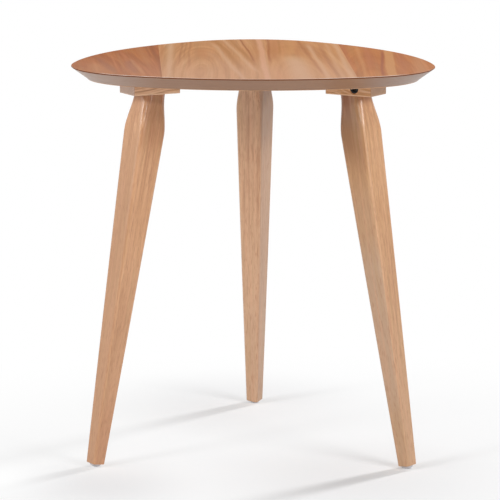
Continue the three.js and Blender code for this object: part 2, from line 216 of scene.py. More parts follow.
def copied(piece: Piece, name: str) -> Piece:
    """Copies a piece together with its mesh.

    Args:
        piece: The piece to copy.
        name: Name of the copy.

    Returns:
        The copy.
    """
    select_only(piece)
    bpy.ops.object.duplicate()
    copy = bpy.context.object
    copy.name = name
    return copy


def cut(piece: Piece, cutter: Piece) -> None:
    """Cuts a closed body out of a piece and removes the cutter.

    Args:
        piece: The piece that loses material.
        cutter: The closed body that is taken away.
    """
    select_only(piece)
    bpy.ops.object.modifier_add(type="BOOLEAN")
    modifier = piece.modifiers[-1]
    modifier.operation = "DIFFERENCE"
    modifier.solver = "EXACT"
    modifier.object = cutter
    bpy.ops.object.modifier_apply(modifier=modifier.name)
    bpy.data.objects.remove(cutter)


def clear_beyond(piece: Piece, point: Point, normal: Point) -> None:
    """Saws a piece at a plane and throws away what lies on the side that its normal points to."""
    with editing(piece):
        bpy.ops.mesh.bisect(
            plane_co=point, plane_no=normal, use_fill=True, clear_outer=True,
            threshold=WELD_DISTANCE,
        )


def dress(piece: Piece, finish: Finish) -> None:
    """Gives a piece its finish and no other."""
    piece.data.materials.clear()
    piece.data.materials.append(finish)


def hand_over(piece: Piece, node: str, finish: Finish, crease: float) -> None:
    """Shades and dresses a fine piece and lets it stand for its solid.

    Args:
        piece: The fine piece, in place.
        node: Name of the solid that it replaces.
        finish: Material of the piece.
        crease: Edges that turn by more than this many degrees stay sharp.
    """
    select_only(piece)
    bpy.ops.object.shade_smooth_by_angle(angle=math.radians(crease))
    bpy.ops.object.modifier_add(type="WEIGHTED_NORMAL")
    piece.modifiers[-1].keep_sharp = True
    bpy.ops.object.modifier_apply(modifier=piece.modifiers[-1].name)
    dress(piece, finish)
    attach(piece, BODY)
    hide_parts(node)
    log.info("%s: %d faces", piece.name, len(piece.data.polygons))


def dress_node(node: str, finish: Finish) -> None:
    """Gives a solid that stays its finish."""
    dress(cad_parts[node], finish)
    log.info("%s: solid kept", node)


# Finishes


def srgb(red: int, green: int, blue: int) -> Colour:
    """Turns a colour from 0 to 255 into linear values, by the standard sRGB curve.

    Args:
        red: Red, 0 to 255.
        green: Green, 0 to 255.
        blue: Blue, 0 to 255.

    Returns:
        The linear colour with full opacity.
    """
    shares = [channel / 255 for channel in (red, green, blue)]
    linear = [s / 12.92 if s <= 0.04045 else ((s + 0.055) / 1.055) ** 2.4 for s in shares]
    return (*linear, 1.0)


class Ease(Enum):
    """How a range goes over from its low end to its high end."""

    STRAIGHT = "LINEAR"
    SMOOTH = "SMOOTHSTEP"


@dataclass(frozen=True)
class Texture:
    """Noise that is drawn out along a direction, such as fibres or faint clouds.

    Attributes:
        scale: Spots in a metre along each axis.
        detail, roughness: Octaves of finer noise, and how strong they are.
        shift: How far it is moved, in spots.
        seeded: How far a seed of 1 moves it as well.
        weight: How strongly it tells in the tone of its finish.
    """

    scale: Point
    detail: float = 1.0
    roughness: float = 0.5
    shift: Point = (0, 0, 0)
    seeded: Point = (0, 0, 0)
    weight: float = 0.0


@dataclass(frozen=True)
class Shine:
    """How a finish shines and stands out.

    Attributes:
        roughness: Least and greatest roughness.
        relief, depth: Strength of its bump, and the real height that a bump of 1 stands for.
        gloss: Specular level.
        coat, coat_roughness: Weight and roughness of the clear coat.
        ease: How the roughness goes over.
    """

    roughness: Pair
    relief: float
    depth: float
    gloss: float = 0.5
    coat: float = 0.0
    coat_roughness: float = 0.03
    ease: Ease = Ease.STRAIGHT


class NodeGraph:
    """A node tree that is built node by node."""

    def __init__(self, tree: bpy.types.NodeTree) -> None:
        """Starts the tree anew."""
        self.tree = tree
        tree.nodes.clear()

    def feed(self, socket: Socket, value: Feed) -> None:
        """Links a socket to another one, or sets it to a constant."""
        if isinstance(value, Socket):
            self.tree.links.new(value, socket)
        else:
            socket.default_value = value

    def node(self, kind: str, feeds: dict[int | str, Feed], **settings: object) -> bpy.types.Node:
        """Adds one node.

        Args:
            kind: Blender's type name of the node.
            feeds: What goes into its inputs, by input name or number.
            **settings: Properties of the node.

        Returns:
            The new node.
        """
        made = self.tree.nodes.new(kind)
        for key, value in settings.items():
            setattr(made, key, value)
        for key, value in feeds.items():
            self.feed(made.inputs[key], value)
        return made

    def math(self, operation: str, *values: Feed, clamp: bool = False) -> Socket:
        """Adds a Math node and returns its result."""
        feeds = dict(enumerate(values))
        return self.node("ShaderNodeMath", feeds, operation=operation, use_clamp=clamp).outputs[0]

    def vector_value(self, operation: str, *vectors: Feed) -> Socket:
        """Adds a Vector Math node and returns the number that it gives."""
        feeds = dict(enumerate(vectors))
        return self.node("ShaderNodeVectorMath", feeds, operation=operation).outputs["Value"]

    def position(self) -> Socket:
        """The point on the piece, in the table's own frame."""
        return self.node("ShaderNodeTexCoord", {}).outputs["Object"]

    def mapped(
        self, vector: Feed, location: Point = (0, 0, 0), turn: Point = (0, 0, 0),
        scale: Point = (1, 1, 1),
    ) -> Socket:
        """Scales a vector, turns it by Euler angles and moves it, in that order."""
        feeds = {"Vector": vector, "Location": location, "Rotation": turn, "Scale": scale}
        return self.node("ShaderNodeMapping", feeds).outputs["Vector"]

    def split(self, vector: Feed) -> tuple[Socket, ...]:
        """Splits a vector into x, y and z."""
        return tuple(self.node("ShaderNodeSeparateXYZ", {0: vector}).outputs)

    def joined(self, x: Feed, y: Feed, z: Feed) -> Socket:
        """Joins x, y and z into a vector."""
        return self.node("ShaderNodeCombineXYZ", {0: x, 1: y, 2: z}).outputs[0]

    def noise(
        self, vector: Feed, scale: float = 1.0, detail: float = 1.0, roughness: float = 0.5
    ) -> Socket:
        """Reads a noise from 0 to 1 at a vector, with octaves of finer and weaker noise."""
        feeds = {"Vector": vector, "Scale": scale, "Detail": detail, "Roughness": roughness}
        return self.node("ShaderNodeTexNoise", feeds).outputs["Fac"]

    def weighed(self, tone: Feed, *noises: tuple[Feed, float]) -> Feed:
        """Adds noises to a tone, each taken from its middle and with its weight."""
        for noise, weight in noises:
            off_middle = self.math("SUBTRACT", noise, NOISE_MIDDLE)
            tone = self.math("MULTIPLY_ADD", off_middle, weight, tone)
        return tone

    def hypotenuse(self, x: Feed, y: Feed) -> Socket:
        """Length of the straight way that goes x along and y up."""
        squares = [self.math("POWER", side, 2.0) for side in (x, y)]
        return self.math("SQRT", self.math("ADD", *squares))

    def away_from(self, centre: Point) -> Socket:
        """Distance of the point on the piece from a fixed point."""
        return self.vector_value("LENGTH", self.mapped(self.position(), tuple(-c for c in centre)))

    def spread(
        self, value: Feed, low: float, high: float, to_low: float = 0.0, to_high: float = 1.0,
        ease: Ease = Ease.SMOOTH,
    ) -> Socket:
        """Maps the range from low to high to another one, and holds it past its ends."""
        feeds = {0: value, 1: low, 2: high, 3: to_low, 4: to_high}
        return self.node("ShaderNodeMapRange", feeds, interpolation_type=ease.value).outputs[0]

    def textures(self, vector: Feed, *textures: Texture, seed: float = 0.0) -> list[Socket]:
        """Reads textures at a vector.

        Args:
            vector: Where they are read.
            *textures: The textures.
            seed: Moves those that are seeded.

        Returns:
            A noise for each of them.
        """
        noises = []
        for texture in textures:
            shift = tuple(Vector(texture.shift) + seed * Vector(texture.seeded))
            read_at = self.mapped(vector, shift, scale=texture.scale)
            noises.append(
                self.noise(read_at, detail=texture.detail, roughness=texture.roughness)
            )
        return noises

    def contrasted(self, noise: Feed, contrast: float) -> Socket:
        """Turns a noise into a tone between minus and plus a contrast."""
        return self.spread(noise, NOISE_LOW, NOISE_HIGH, -contrast, contrast, Ease.STRAIGHT)

    def roughened(self, noise: Feed, shine: Shine) -> Socket:
        """Turns a noise into a roughness."""
        return self.spread(noise, GRAIN_LOW, GRAIN_HIGH, *shine.roughness, shine.ease)

    def mix(self, share: Feed, first: Feed, second: Feed) -> Socket:
        """Mixes two colours through a Mix node's colour sockets, with a share of the second."""
        feeds = {0: share, 6: first, 7: second}
        return self.node("ShaderNodeMix", feeds, data_type="RGBA").outputs[2]

    def hued(self, colour: Feed, noise: Feed, warm: Colour, cool: Colour, share: float) -> Socket:
        """Leans a colour to a warm hue where a noise is high and to a cool one where it is low."""
        high = self.spread(noise, NOISE_MIDDLE, NOISE_HIGH, 0.0, share)
        low = self.spread(noise, NOISE_LOW, NOISE_MIDDLE, share, 0.0)
        return self.mix(low, self.mix(high, colour, warm), cool)

    def ramp(self, value: Feed, places: Point, colours: Sequence[Colour]) -> Socket:
        """Colours a number through a ramp.

        Args:
            value: The number, from 0 to 1.
            places: Where on the ramp the colours lie, from low to high.
            colours: The colours.

        Returns:
            The colour.
        """
        made = self.node("ShaderNodeValToRGB", {0: value})
        elements = made.color_ramp.elements
        while len(elements) < len(places):
            elements.new(1.0)
        for element, spot, colour in zip(elements, places, colours):
            element.position = spot
            element.color = colour
        return made.outputs["Color"]

    def seen_rays(self) -> Socket:
        """1 for what the camera sees directly, in a reflection or through glass, 0 for light."""
        rays = self.node("ShaderNodeLightPath", {}).outputs
        seen = self.math("MAXIMUM", rays["Is Camera Ray"], rays["Is Glossy Ray"])
        return self.math("MAXIMUM", seen, rays["Is Transmission Ray"])


class FinishGraph(NodeGraph):
    """The node tree of one finish, round a Principled shader."""

    def __init__(self, name: str) -> None:
        """Starts a material with this name."""
        self.material = bpy.data.materials.new(name)
        self.material.use_nodes = True
        super().__init__(self.material.node_tree)
        self.shader = self.node("ShaderNodeBsdfPrincipled", {})
        self.node("ShaderNodeOutputMaterial", {"Surface": self.shader.outputs["BSDF"]})

    def finished(
        self, colour: Feed, roughness: Feed, raised: Feed, shine: Shine, **others: Feed
    ) -> Finish:
        """Sets the shader and gives the material.

        Args:
            colour: Colour of the surface.
            roughness: Roughness of the surface.
            raised: How far a point stands out, from 0 to 1.
            shine: How the finish shines and stands out.
            **others: What goes into other sockets, with _ for a space in their names.

        Returns:
            The material.
        """
        bump = {"Height": raised, "Strength": shine.relief, "Distance": shine.depth}
        feeds = {
            "Base_Color": colour, "Roughness": roughness, "Specular_IOR_Level": shine.gloss,
            "Coat_Weight": shine.coat, "Coat_Roughness": shine.coat_roughness,
            "Normal": self.node("ShaderNodeBump", bump).outputs[0],
        }
        for key, value in (feeds | others).items():
            self.feed(self.shader.inputs[key.replace("_", " ")], value)
        return self.material


@dataclass(frozen=True)
class WoodOrPaintedLightPatch:
    """A stretch of another colour, on one side of a piece or on all of them: the wood's own tone, or
    painted light or shade.

    Attributes:
        share: Share of its colour where the patch is full.
        side: Direction that its side faces, in degrees from X towards Y; None takes all sides.
        facing: Least cosine between the surface and that direction; -2 takes every surface.
        turn_fade: How much the cosine may differ while it fades round an edge.
        start, end, fade: Places across that side, counter-clockwise from the middle, and the fade.
        upper, lower, length_fade: Places along the grain past which it fades out, and the fade.
    """

    colour: Colour
    share: float
    side: float | None = None
    facing: float = 0.71
    start: float = -1.0
    end: float = 1.0
    fade: float = 0.003
    upper: float = 1.0
    lower: float = -1.0
    length_fade: float = 0.06
    turn_fade: float = 0.05

    def laid(
        self, graph: NodeGraph, colour: Feed, spot: Sequence[Socket], direction: Socket
    ) -> Socket:
        """Lays the patch over a wood's colour.

        Args:
            graph: The finish that is being built.
            colour: The colour so far.
            spot: The point's x, y and z in the wood's frame.
            direction: Where the surface faces, in that frame.

        Returns:
            The colour with the patch.
        """
        x, y, z = spot
        ranges = [
            (z, self.upper + self.length_fade, self.upper),
            (z, self.lower - self.length_fade, self.lower),
        ]
        if self.side is not None:
            sine, cosine = math.sin(math.radians(self.side)), math.cos(math.radians(self.side))
            facing = graph.vector_value("DOT_PRODUCT", direction, (cosine, sine, 0))
            sideways = graph.math("MULTIPLY_ADD", y, cosine, graph.math("MULTIPLY", x, -sine))
            ranges += [
                (facing, self.facing - self.turn_fade, self.facing + self.turn_fade),
                (sideways, self.start - self.fade, self.start),
                (sideways, self.end + self.fade, self.end),
            ]
        share = self.share
        for value, start, end in ranges:
            share = graph.math("MULTIPLY", share, graph.spread(value, start, end))
        return graph.mix(share, colour, self.colour)


@dataclass(frozen=True)
class Timber:
    """Straight-grained solid wood under satin lacquer, with its grain along Z of its own frame.

    Attributes:
        dark, middle, light: Colours of the darkest grain, of most of the wood and of the lightest.
        tones: Tones at which these three lie.
        pith: Middle of the growth rings, across the grain.
        band_drift: How fast the growth bands change along the grain.
        slope: How steeply the grain runs out of the piece.
        wander: How far the bands wander sideways along the grain.
        wander_rate: Turns of that wander in a metre, for each metre that they wander.
        seed: Moves the figure, so that no two pieces are alike.
        end_colour, end_share, end_fade: Colour of the end grain, past end_at along the grain.
        warm, cool, hue_share: Hues that some of the grain leans to.
        fibres, lines, flecks, clouds: Textures that make up the tone, with the growth bands.
        fleck_marks, pore_marks: Range of the texture, and share of dark that it gives.
        fibre_relief: Height of a fibre as a share of a pore's depth.
    """

    name: str
    dark: Colour
    middle: Colour
    light: Colour
    pith: Pair = (0.075, 0.03)
    ring_width: float = 0.0045
    band_strength: float = 0.12
    band_drift: float = 0.012
    slope: float = 0.008
    wander: float = 0.006
    wander_rate: float = 1000.0
    seed: float = 0.0
    end_colour: Colour = WHITE
    end_share: float = 0.0
    end_at: float = 1.0
    end_fade: float = 0.0004
    warm: Colour = (0.65, 0.34, 0.19, 1.0)
    cool: Colour = (0.5, 0.3, 0.14, 1.0)
    hue_share: float = 0.32
    patches: tuple[WoodOrPaintedLightPatch, ...] = ()

    fibres: Texture = Texture((620, 620, 24), 2.0, 0.6, seeded=(1, 0, 0), weight=0.75)
    lines: Texture = Texture((300, 300, 3), shift=(0, 0, 5), seeded=(1, 0, 0), weight=0.55)
    flecks: Texture = Texture((820, 820, 60), seeded=(0, 1, 0), weight=0.3)
    clouds: Texture = Texture((14, 14, 5), 2.0, shift=(0, 3, 0), seeded=(1, 0, 0), weight=0.35)
    pores: Texture = Texture((1500, 1500, 90), shift=(0, 0, 7), seeded=(0, 1, 0))
    hues: Texture = Texture((190, 190, 4), shift=(0, 9, 0), seeded=(1, 0, 0))
    tones: Point = (0.12, 0.5, 0.9)
    fleck_marks: Span = (0.56, 0.7, 0.0, 0.5)
    pore_marks: Span = (0.6, 0.72, 0.0, 0.4)
    fibre_relief: float = 0.4
    shine: Shine = Shine((0.36, 0.46), 0.12, 0.0002, 0.4, 0.4, 0.16)

    def bands(self, graph: NodeGraph, spot: Sequence[Socket]) -> Socket:
        """Growth bands round a pith that wanders and runs out of the piece.

        Args:
            graph: The finish that is being built.
            spot: The point's x, y and z in the wood's frame.

        Returns:
            Their tone, about 0.
        """
        x, y, z = spot
        off_pith = [graph.math("SUBTRACT", side, at) for side, at in zip((x, y), self.pith)]
        turns = graph.joined(self.seed, self.seed, z)
        wander = graph.noise(turns, self.wander * self.wander_rate, BAND_DETAIL)
        radius = graph.math("MULTIPLY_ADD", wander, self.wander, graph.hypotenuse(*off_pith))
        radius = graph.math("MULTIPLY_ADD", z, self.slope, radius)
        read_at = graph.joined(radius, self.seed, graph.math("MULTIPLY", z, self.band_drift))
        noise = graph.noise(read_at, 1 / self.ring_width, BAND_DETAIL, BAND_ROUGHNESS)
        return graph.contrasted(noise, self.band_strength)

    def material(self, into_grain: Matrix) -> Finish:
        """Builds the material.

        Args:
            into_grain: Takes a point of the table into the wood's frame, with the grain along Z.

        Returns:
            The material.
        """
        graph = FinishGraph(self.name)
        turn = tuple(into_grain.to_euler("XYZ"))
        grain = graph.mapped(graph.position(), tuple(into_grain.translation), turn)
        spot = graph.split(grain)
        fibres, lines, flecks, clouds, pores, hues = graph.textures(
            grain, self.fibres, self.lines, self.flecks, self.clouds, self.pores, self.hues,
            seed=self.seed,
        )
        tone = graph.weighed(
            self.bands(graph, spot), (fibres, self.fibres.weight), (lines, self.lines.weight),
            (flecks, self.flecks.weight), (clouds, self.clouds.weight),
        )
        tone = graph.math("ADD", tone, NOISE_MIDDLE)
        colour = graph.ramp(tone, self.tones, (self.dark, self.middle, self.light))
        normal = graph.node("ShaderNodeTexCoord", {}).outputs["Normal"]
        direction = graph.mapped(normal, turn=turn)
        for patch in self.patches:
            colour = patch.laid(graph, colour, spot, direction)
        colour = graph.hued(colour, hues, self.warm, self.cool, self.hue_share)
        specks = graph.math(
            "MAXIMUM", graph.spread(flecks, *self.fleck_marks), graph.spread(pores, *self.pore_marks)
        )
        colour = graph.mix(specks, colour, self.dark)
        end_off = graph.math("ABSOLUTE", spot[2])
        end = graph.spread(end_off, self.end_at - self.end_fade, self.end_at, 0.0, self.end_share)
        colour = graph.mix(end, colour, self.end_colour)
        raised = graph.math("MULTIPLY", fibres, self.fibre_relief)
        raised = graph.math("MULTIPLY_ADD", specks, -1.0, raised)
        return graph.finished(colour, graph.roughened(clouds, self.shine), raised, self.shine)


@dataclass(frozen=True)
class Streak:
    """One line or band of the veneer's figure.

    Attributes:
        place: Where it crosses the middle of the top, left to right.
        width: Its half width.
        strength: Share of its colour in its middle.
        lean: How far it leans to the right towards the front, in degrees.
        back, front, fade: Where it starts to fade at either end, from the table's axis.
        core: Share of its half width that has the full strength.
    """

    place: float
    width: float
    colour: Colour
    strength: float
    lean: float = 3.0
    back: float = 0.4
    front: float = -0.4
    fade: float = 0.08
    core: float = 0.0

    def laid(self, graph: NodeGraph, colour: Feed, x: Socket, along: Socket, wobble: Feed) -> Socket:
        """Lays the streak over a leaf's colour.

        Args:
            graph: The finish that is being built.
            colour: The colour so far.
            x: Distance to the right.
            along: Distance behind the table's axis.
            wobble: A small sideways wander along the leaf.

        Returns:
            The colour with the streak.
        """
        off = graph.math("SUBTRACT", leaned(graph, x, along, self.lean), self.place)
        off = graph.math("ABSOLUTE", graph.math("ADD", off, wobble))
        body = graph.spread(off, self.core * self.width, self.width, self.strength, 0.0)
        rear = graph.spread(along, self.back, self.back + self.fade, 1.0, 0.0)
        front = graph.spread(along, self.front - self.fade, self.front, 0.0, 1.0)
        share = graph.math("MULTIPLY", body, graph.math("MULTIPLY", rear, front))
        return graph.mix(share, colour, self.colour)


def leaned(graph: NodeGraph, x: Feed, along: Feed, degrees: float) -> Socket:
    """Distance across the top, on a line that leans to the right towards the front."""
    return graph.math("MULTIPLY_ADD", along, math.tan(math.radians(degrees)), x)


@dataclass(frozen=True)
class LeafFigure:
    """Colours and figure of one leaf of the face veneer.

    Attributes:
        dark, middle, light: Colours of the dark grain, of most of the leaf and of the light grain.
        heart: Where the leaf's heart line crosses the middle of the top.
        heart_front: Place of the rings' middle along the leaf, from the table's axis.
        lean: How far the grain leans to the right towards the front, in degrees.
        cut_slope: How steeply the cut runs through the rings.
        seed: Moves the figure.
        painted_sheen_share: Share of the painted sheen's colour at the front.
    """

    name: str
    dark: Colour
    middle: Colour
    light: Colour
    heart: float
    heart_front: float
    lean: float
    cut_slope: float
    ring_width: float
    seed: float
    ring_contrast: float = 0.24
    painted_sheen_share: float = 0.33
    streaks: tuple[Streak, ...] = ()


@dataclass(frozen=True)
class FaceVeneer:
    """Makes the finish of a leaf: sliced wood, eased and dark at its edge, under satin lacquer, with
    a painted glint on the eased edge and a painted sheen towards the front.

    Attributes:
        edge_top: Height up to which the eased edge is dark, and above which it carries the pale
            painted glint.
        painted_sheen_colour: Colour of the painted sheen over the wood, most at the front.
        warm, cool, hue_share: Hues that some stripes lean to.
        wobble, wandering: How far the lines wander sideways, and the texture of that wander.
        fibres, clouds: Textures that make up the tone, with the growth bands.
        ring_drift, fine_drift: How fast the growth bands and the fine ones change along the leaf.
        fine_rate, fine_seed: Fine bands in a growth band, and what moves them.
        fine_share: Weight of the fine bands for each part of the growth bands' contrast.
        tones: Tones at which the dark, the middle and the light colour lie.
        sheen_front, sheen_back: Places between which the painted sheen grows less, from the axis.
        pore_marks: Range of the texture, and share of dark that it gives.
        edge_fade, glint_fade: Height over which the edge's colour and its painted glint end.
        glint_middle, glint_ends: Ranges from the top's middle, and how much painted glint they
            leave.
        glint_smoothing: How much smoother the eased edge is under the painted glint.
    """

    axis_y: float
    face_top: float
    edge_top: float
    edge_colour: Colour
    glint_colour: Colour
    painted_sheen_colour: Colour
    warm: Colour
    cool: Colour
    hue_share: float = 0.3

    wobble: float = 0.009
    wandering: Texture = Texture((36, 4, 4), 2.0)
    fibres: Texture = Texture((900, 9, 1), 3.0, 0.6, weight=0.6)
    clouds: Texture = Texture((26, 5, 1), 2.0, shift=(0, 2, 4), weight=0.4)
    pores: Texture = Texture((1700, 60, 1), shift=(4, 0, 2))
    hues: Texture = Texture((110, 3, 1), shift=(7, 0, 0))
    ring_drift: float = 0.01
    fine_drift: float = 0.02
    fine_rate: float = 3.1
    fine_seed: float = 5.0
    fine_share: float = 1.4
    tones: Point = (0.15, 0.5, 0.88)
    sheen_front: float = -0.2
    sheen_back: float = 0.12
    pore_marks: Span = (0.6, 0.74, 0.0, 0.28)
    edge_fade: float = 0.0001
    glint_fade: float = 0.00003
    glint_middle: Span = (0.04, 0.12, 0.5, 1.0)
    glint_ends: Span = (0.185, 0.215, 1.0, 0.1)
    glint_smoothing: float = 0.35
    shine: Shine = Shine((0.6, 0.68), 0.06, 0.0001, 0.1)

    def rings(self, graph: NodeGraph, figure: LeafFigure, off_heart: Feed, along: Feed) -> Socket:
        """Growth bands and finer bands between them, as a slanting cut shows them.

        Args:
            graph: The finish that is being built.
            figure: Colours and figure of the leaf.
            off_heart: Distance from the leaf's heart line.
            along: Distance behind the table's axis.

        Returns:
            Their tone, about 0.
        """
        depth = graph.math("SUBTRACT", along, figure.heart_front)
        radius = graph.hypotenuse(off_heart, graph.math("MULTIPLY", depth, figure.cut_slope))
        seed, width = figure.seed, figure.ring_width
        coarse_at = graph.joined(radius, graph.math("MULTIPLY", along, self.ring_drift), seed)
        fine_at = graph.joined(
            radius, graph.math("MULTIPLY", along, self.fine_drift), seed + self.fine_seed
        )
        coarse = graph.noise(coarse_at, 1 / width, BAND_DETAIL, BAND_ROUGHNESS)
        fine = graph.noise(fine_at, self.fine_rate / width)
        tone = graph.contrasted(coarse, figure.ring_contrast)
        return graph.weighed(tone, (fine, self.fine_share * figure.ring_contrast))

    def painted_glint(self, graph: NodeGraph, x: Socket, z: Socket) -> Socket:
        """Share of painted glint on the eased edge, least in the middle and at the ends of the top.

        Args:
            graph: The finish that is being built.
            x: Distance to the right.
            z: Height above the floor.

        Returns:
            The share, 0 on the face.
        """
        worn = graph.spread(z, self.face_top - self.glint_fade, self.face_top, 1.0, 0.0)
        off_middle = graph.math("ABSOLUTE", x)
        for span in (self.glint_middle, self.glint_ends):
            worn = graph.math("MULTIPLY", worn, graph.spread(off_middle, *span))
        return worn

    def material(self, figure: LeafFigure) -> Finish:
        """Builds one leaf's material.

        Args:
            figure: Colours and figure of the leaf.

        Returns:
            The material.
        """
        graph = FinishGraph(figure.name)
        x, y, z = graph.split(graph.position())
        along = graph.math("SUBTRACT", y, self.axis_y)
        wobble_at = graph.joined(x, along, figure.seed)
        wobble = graph.weighed(0.0, (*graph.textures(wobble_at, self.wandering), self.wobble))
        leaning = leaned(graph, x, along, figure.lean)
        off_heart = graph.math("ADD", graph.math("SUBTRACT", leaning, figure.heart), wobble)
        lengthwise = graph.joined(leaning, along, figure.seed)
        fibres, clouds, pores, hues = graph.textures(
            lengthwise, self.fibres, self.clouds, self.pores, self.hues
        )
        tone = graph.weighed(
            self.rings(graph, figure, off_heart, along), (fibres, self.fibres.weight),
            (clouds, self.clouds.weight),
        )
        tone = graph.math("ADD", tone, NOISE_MIDDLE)
        colour = graph.ramp(tone, self.tones, (figure.dark, figure.middle, figure.light))
        colour = graph.hued(colour, hues, self.warm, self.cool, self.hue_share)
        for streak in figure.streaks:
            colour = streak.laid(graph, colour, x, along, wobble)
        # Painted sheen: the face turns paler and pinker towards the front
        painted_sheen = graph.spread(along, self.sheen_front, self.sheen_back, figure.painted_sheen_share, 0.0)
        colour = graph.mix(painted_sheen, colour, self.painted_sheen_colour)
        specks = graph.spread(pores, *self.pore_marks)
        colour = graph.mix(specks, colour, figure.dark)
        on_face = graph.spread(
            z, self.edge_top - self.edge_fade, self.edge_top, ease=Ease.STRAIGHT
        )
        colour = graph.mix(on_face, self.edge_colour, colour)
        # Painted glint: a pale, smoother line on the eased edge, strongest between the middle and
        # the ends
        worn = self.painted_glint(graph, x, z)
        colour = graph.mix(graph.math("MULTIPLY", worn, on_face), colour, self.glint_colour)
        raised = graph.math("MULTIPLY_ADD", specks, -1.0, fibres)
        satin = graph.roughened(clouds, self.shine)
        roughness = graph.math("MULTIPLY_ADD", worn, -self.glint_smoothing, satin)
        return graph.finished(colour, roughness, raised, self.shine)


@dataclass(frozen=True)
class EdgeSheenPatch:
    """A stretch of the edge with a painted grey sheen.

    Attributes:
        place: Its middle, left to right.
        full, reach: Distances from there within which it is full and at which it has died out.
    """

    place: float
    full: float
    reach: float
    colour: Colour

    def laid(self, graph: NodeGraph, colour: Feed, x: Socket) -> Socket:
        """Lays the patch over the edge's colour, by the distance to the right."""
        off = graph.math("ABSOLUTE", graph.math("SUBTRACT", x, self.place))
        return graph.mix(graph.spread(off, self.reach, self.full), colour, self.colour)


@dataclass(frozen=True)
class EdgeLacquer:
    """Brown satin lacquer of the undercut edge, over the board's faint lengthwise lines.

    Attributes:
        dark: Colour of the faint lines and of the sharp lip.
        lip_bottom: Height of the lip's lower edge.
        ply_marks: Range of the plies' texture, and share of dark that it gives.
        lip_shade: Heights from the lip's lower edge between which it grows dark.
        lip_dark: Share of dark on the lip.
        shine: Shine and relief below the lip, which has little gloss and coat.
    """

    colour: Colour
    dark: Colour
    lip_bottom: float
    patches: tuple[EdgeSheenPatch, ...]

    plies: Texture = Texture((6, 6, 700), 2.0, 0.6)
    clouds: Texture = Texture((16, 16, 40), 3.0, weight=0.35)
    grain: Texture = Texture((120, 120, 1400), 2.0, weight=0.3)
    ply_marks: Span = (0.3, 0.75, 0.0, 0.3)
    lip_shade: Pair = (-0.0009, -0.0003)
    lip_dark: float = 0.95
    shine: Shine = Shine((0.46, 0.56), 0.05, 0.0002, 0.5, 0.6, 0.4)

    def material(self) -> Finish:
        """Builds the material."""
        graph = FinishGraph("edge_lacquer")
        position = graph.position()
        x, _, z = graph.split(position)
        plies, clouds, grain = graph.textures(position, self.plies, self.clouds, self.grain)
        share = graph.weighed(
            graph.spread(plies, *self.ply_marks), (clouds, self.clouds.weight),
            (grain, self.grain.weight),
        )
        start, full = (self.lip_bottom + height for height in self.lip_shade)
        lip = graph.spread(z, start, full, 0.0, self.lip_dark)
        share = graph.math("MAXIMUM", share, lip, clamp=True)
        colour = self.colour
        # Painted sheen: the edge turns greyer towards its left and right
        for patch in self.patches:
            colour = patch.laid(graph, colour, x)
        sheen = graph.math("SUBTRACT", 1.0, lip)
        return graph.finished(
            graph.mix(share, colour, self.dark), graph.roughened(grain, self.shine),
            graph.math("ADD", grain, clouds), self.shine,
            Specular_IOR_Level=graph.math("MULTIPLY", sheen, self.shine.gloss),
            Coat_Weight=graph.math("MULTIPLY", sheen, self.shine.coat),
        )


@dataclass(frozen=True)
class Steel:
    """Turned steel, plated or black, with faint turning marks and small stains.

    Attributes:
        metallic: Share of bare metal.
        stain_marks: Range of the stains' texture, and share of the worn colour that it gives.
    """

    name: str
    colour: Colour
    worn: Colour
    metallic: float
    shine: Shine

    stains: Texture = Texture((420, 420, 420), 3.0, 0.6)
    marks: Texture = Texture((900, 900, 4200), 2.0)
    stain_marks: Span = (0.52, 0.78, 0.0, 0.7)

    def material(self) -> Finish:
        """Builds the material."""
        graph = FinishGraph(self.name)
        stains, marks = graph.textures(graph.position(), self.stains, self.marks)
        colour = graph.mix(graph.spread(stains, *self.stain_marks), self.colour, self.worn)
        roughness = graph.roughened(marks, self.shine)
        return graph.finished(colour, roughness, marks, self.shine, Metallic=self.metallic)


@dataclass(frozen=True)
class Plastic:
    """Moulded pale plastic with a fine grain and a little floor dirt low down.

    Attributes:
        dirt_marks: Range of heights, and share of dirt that it gives.
        spot_marks: Range of the dirt's texture, and how much of that share it leaves.
    """

    colour: Colour
    dirt: Colour

    grain: Texture = Texture((2600, 2600, 2600), 2.0)
    spots: Texture = Texture((300, 300, 300), 3.0, 0.6)
    dirt_marks: Span = (0.0, 0.0025, 0.45, 0.05)
    spot_marks: Span = (0.3, 0.7, 0.0, 1.0)
    shine: Shine = Shine((0.42, 0.58), 0.15, 0.00005)

    def material(self) -> Finish:
        """Builds the material."""
        graph = FinishGraph("glide_plastic")
        position = graph.position()
        grain, spots = graph.textures(position, self.grain, self.spots)
        low = graph.spread(graph.split(position)[2], *self.dirt_marks)
        dirty = graph.math("MULTIPLY", low, graph.spread(spots, *self.spot_marks))
        colour = graph.mix(dirty, self.colour, self.dirt)
        return graph.finished(colour, graph.roughened(grain, self.shine), grain, self.shine)


# Tabletop


@dataclass(frozen=True)
class Arc:
    """One arc of the top's outline: its middle, radius, first angle and turn in radians."""

    centre: Vector
    radius: float
    start: float
    sweep: float


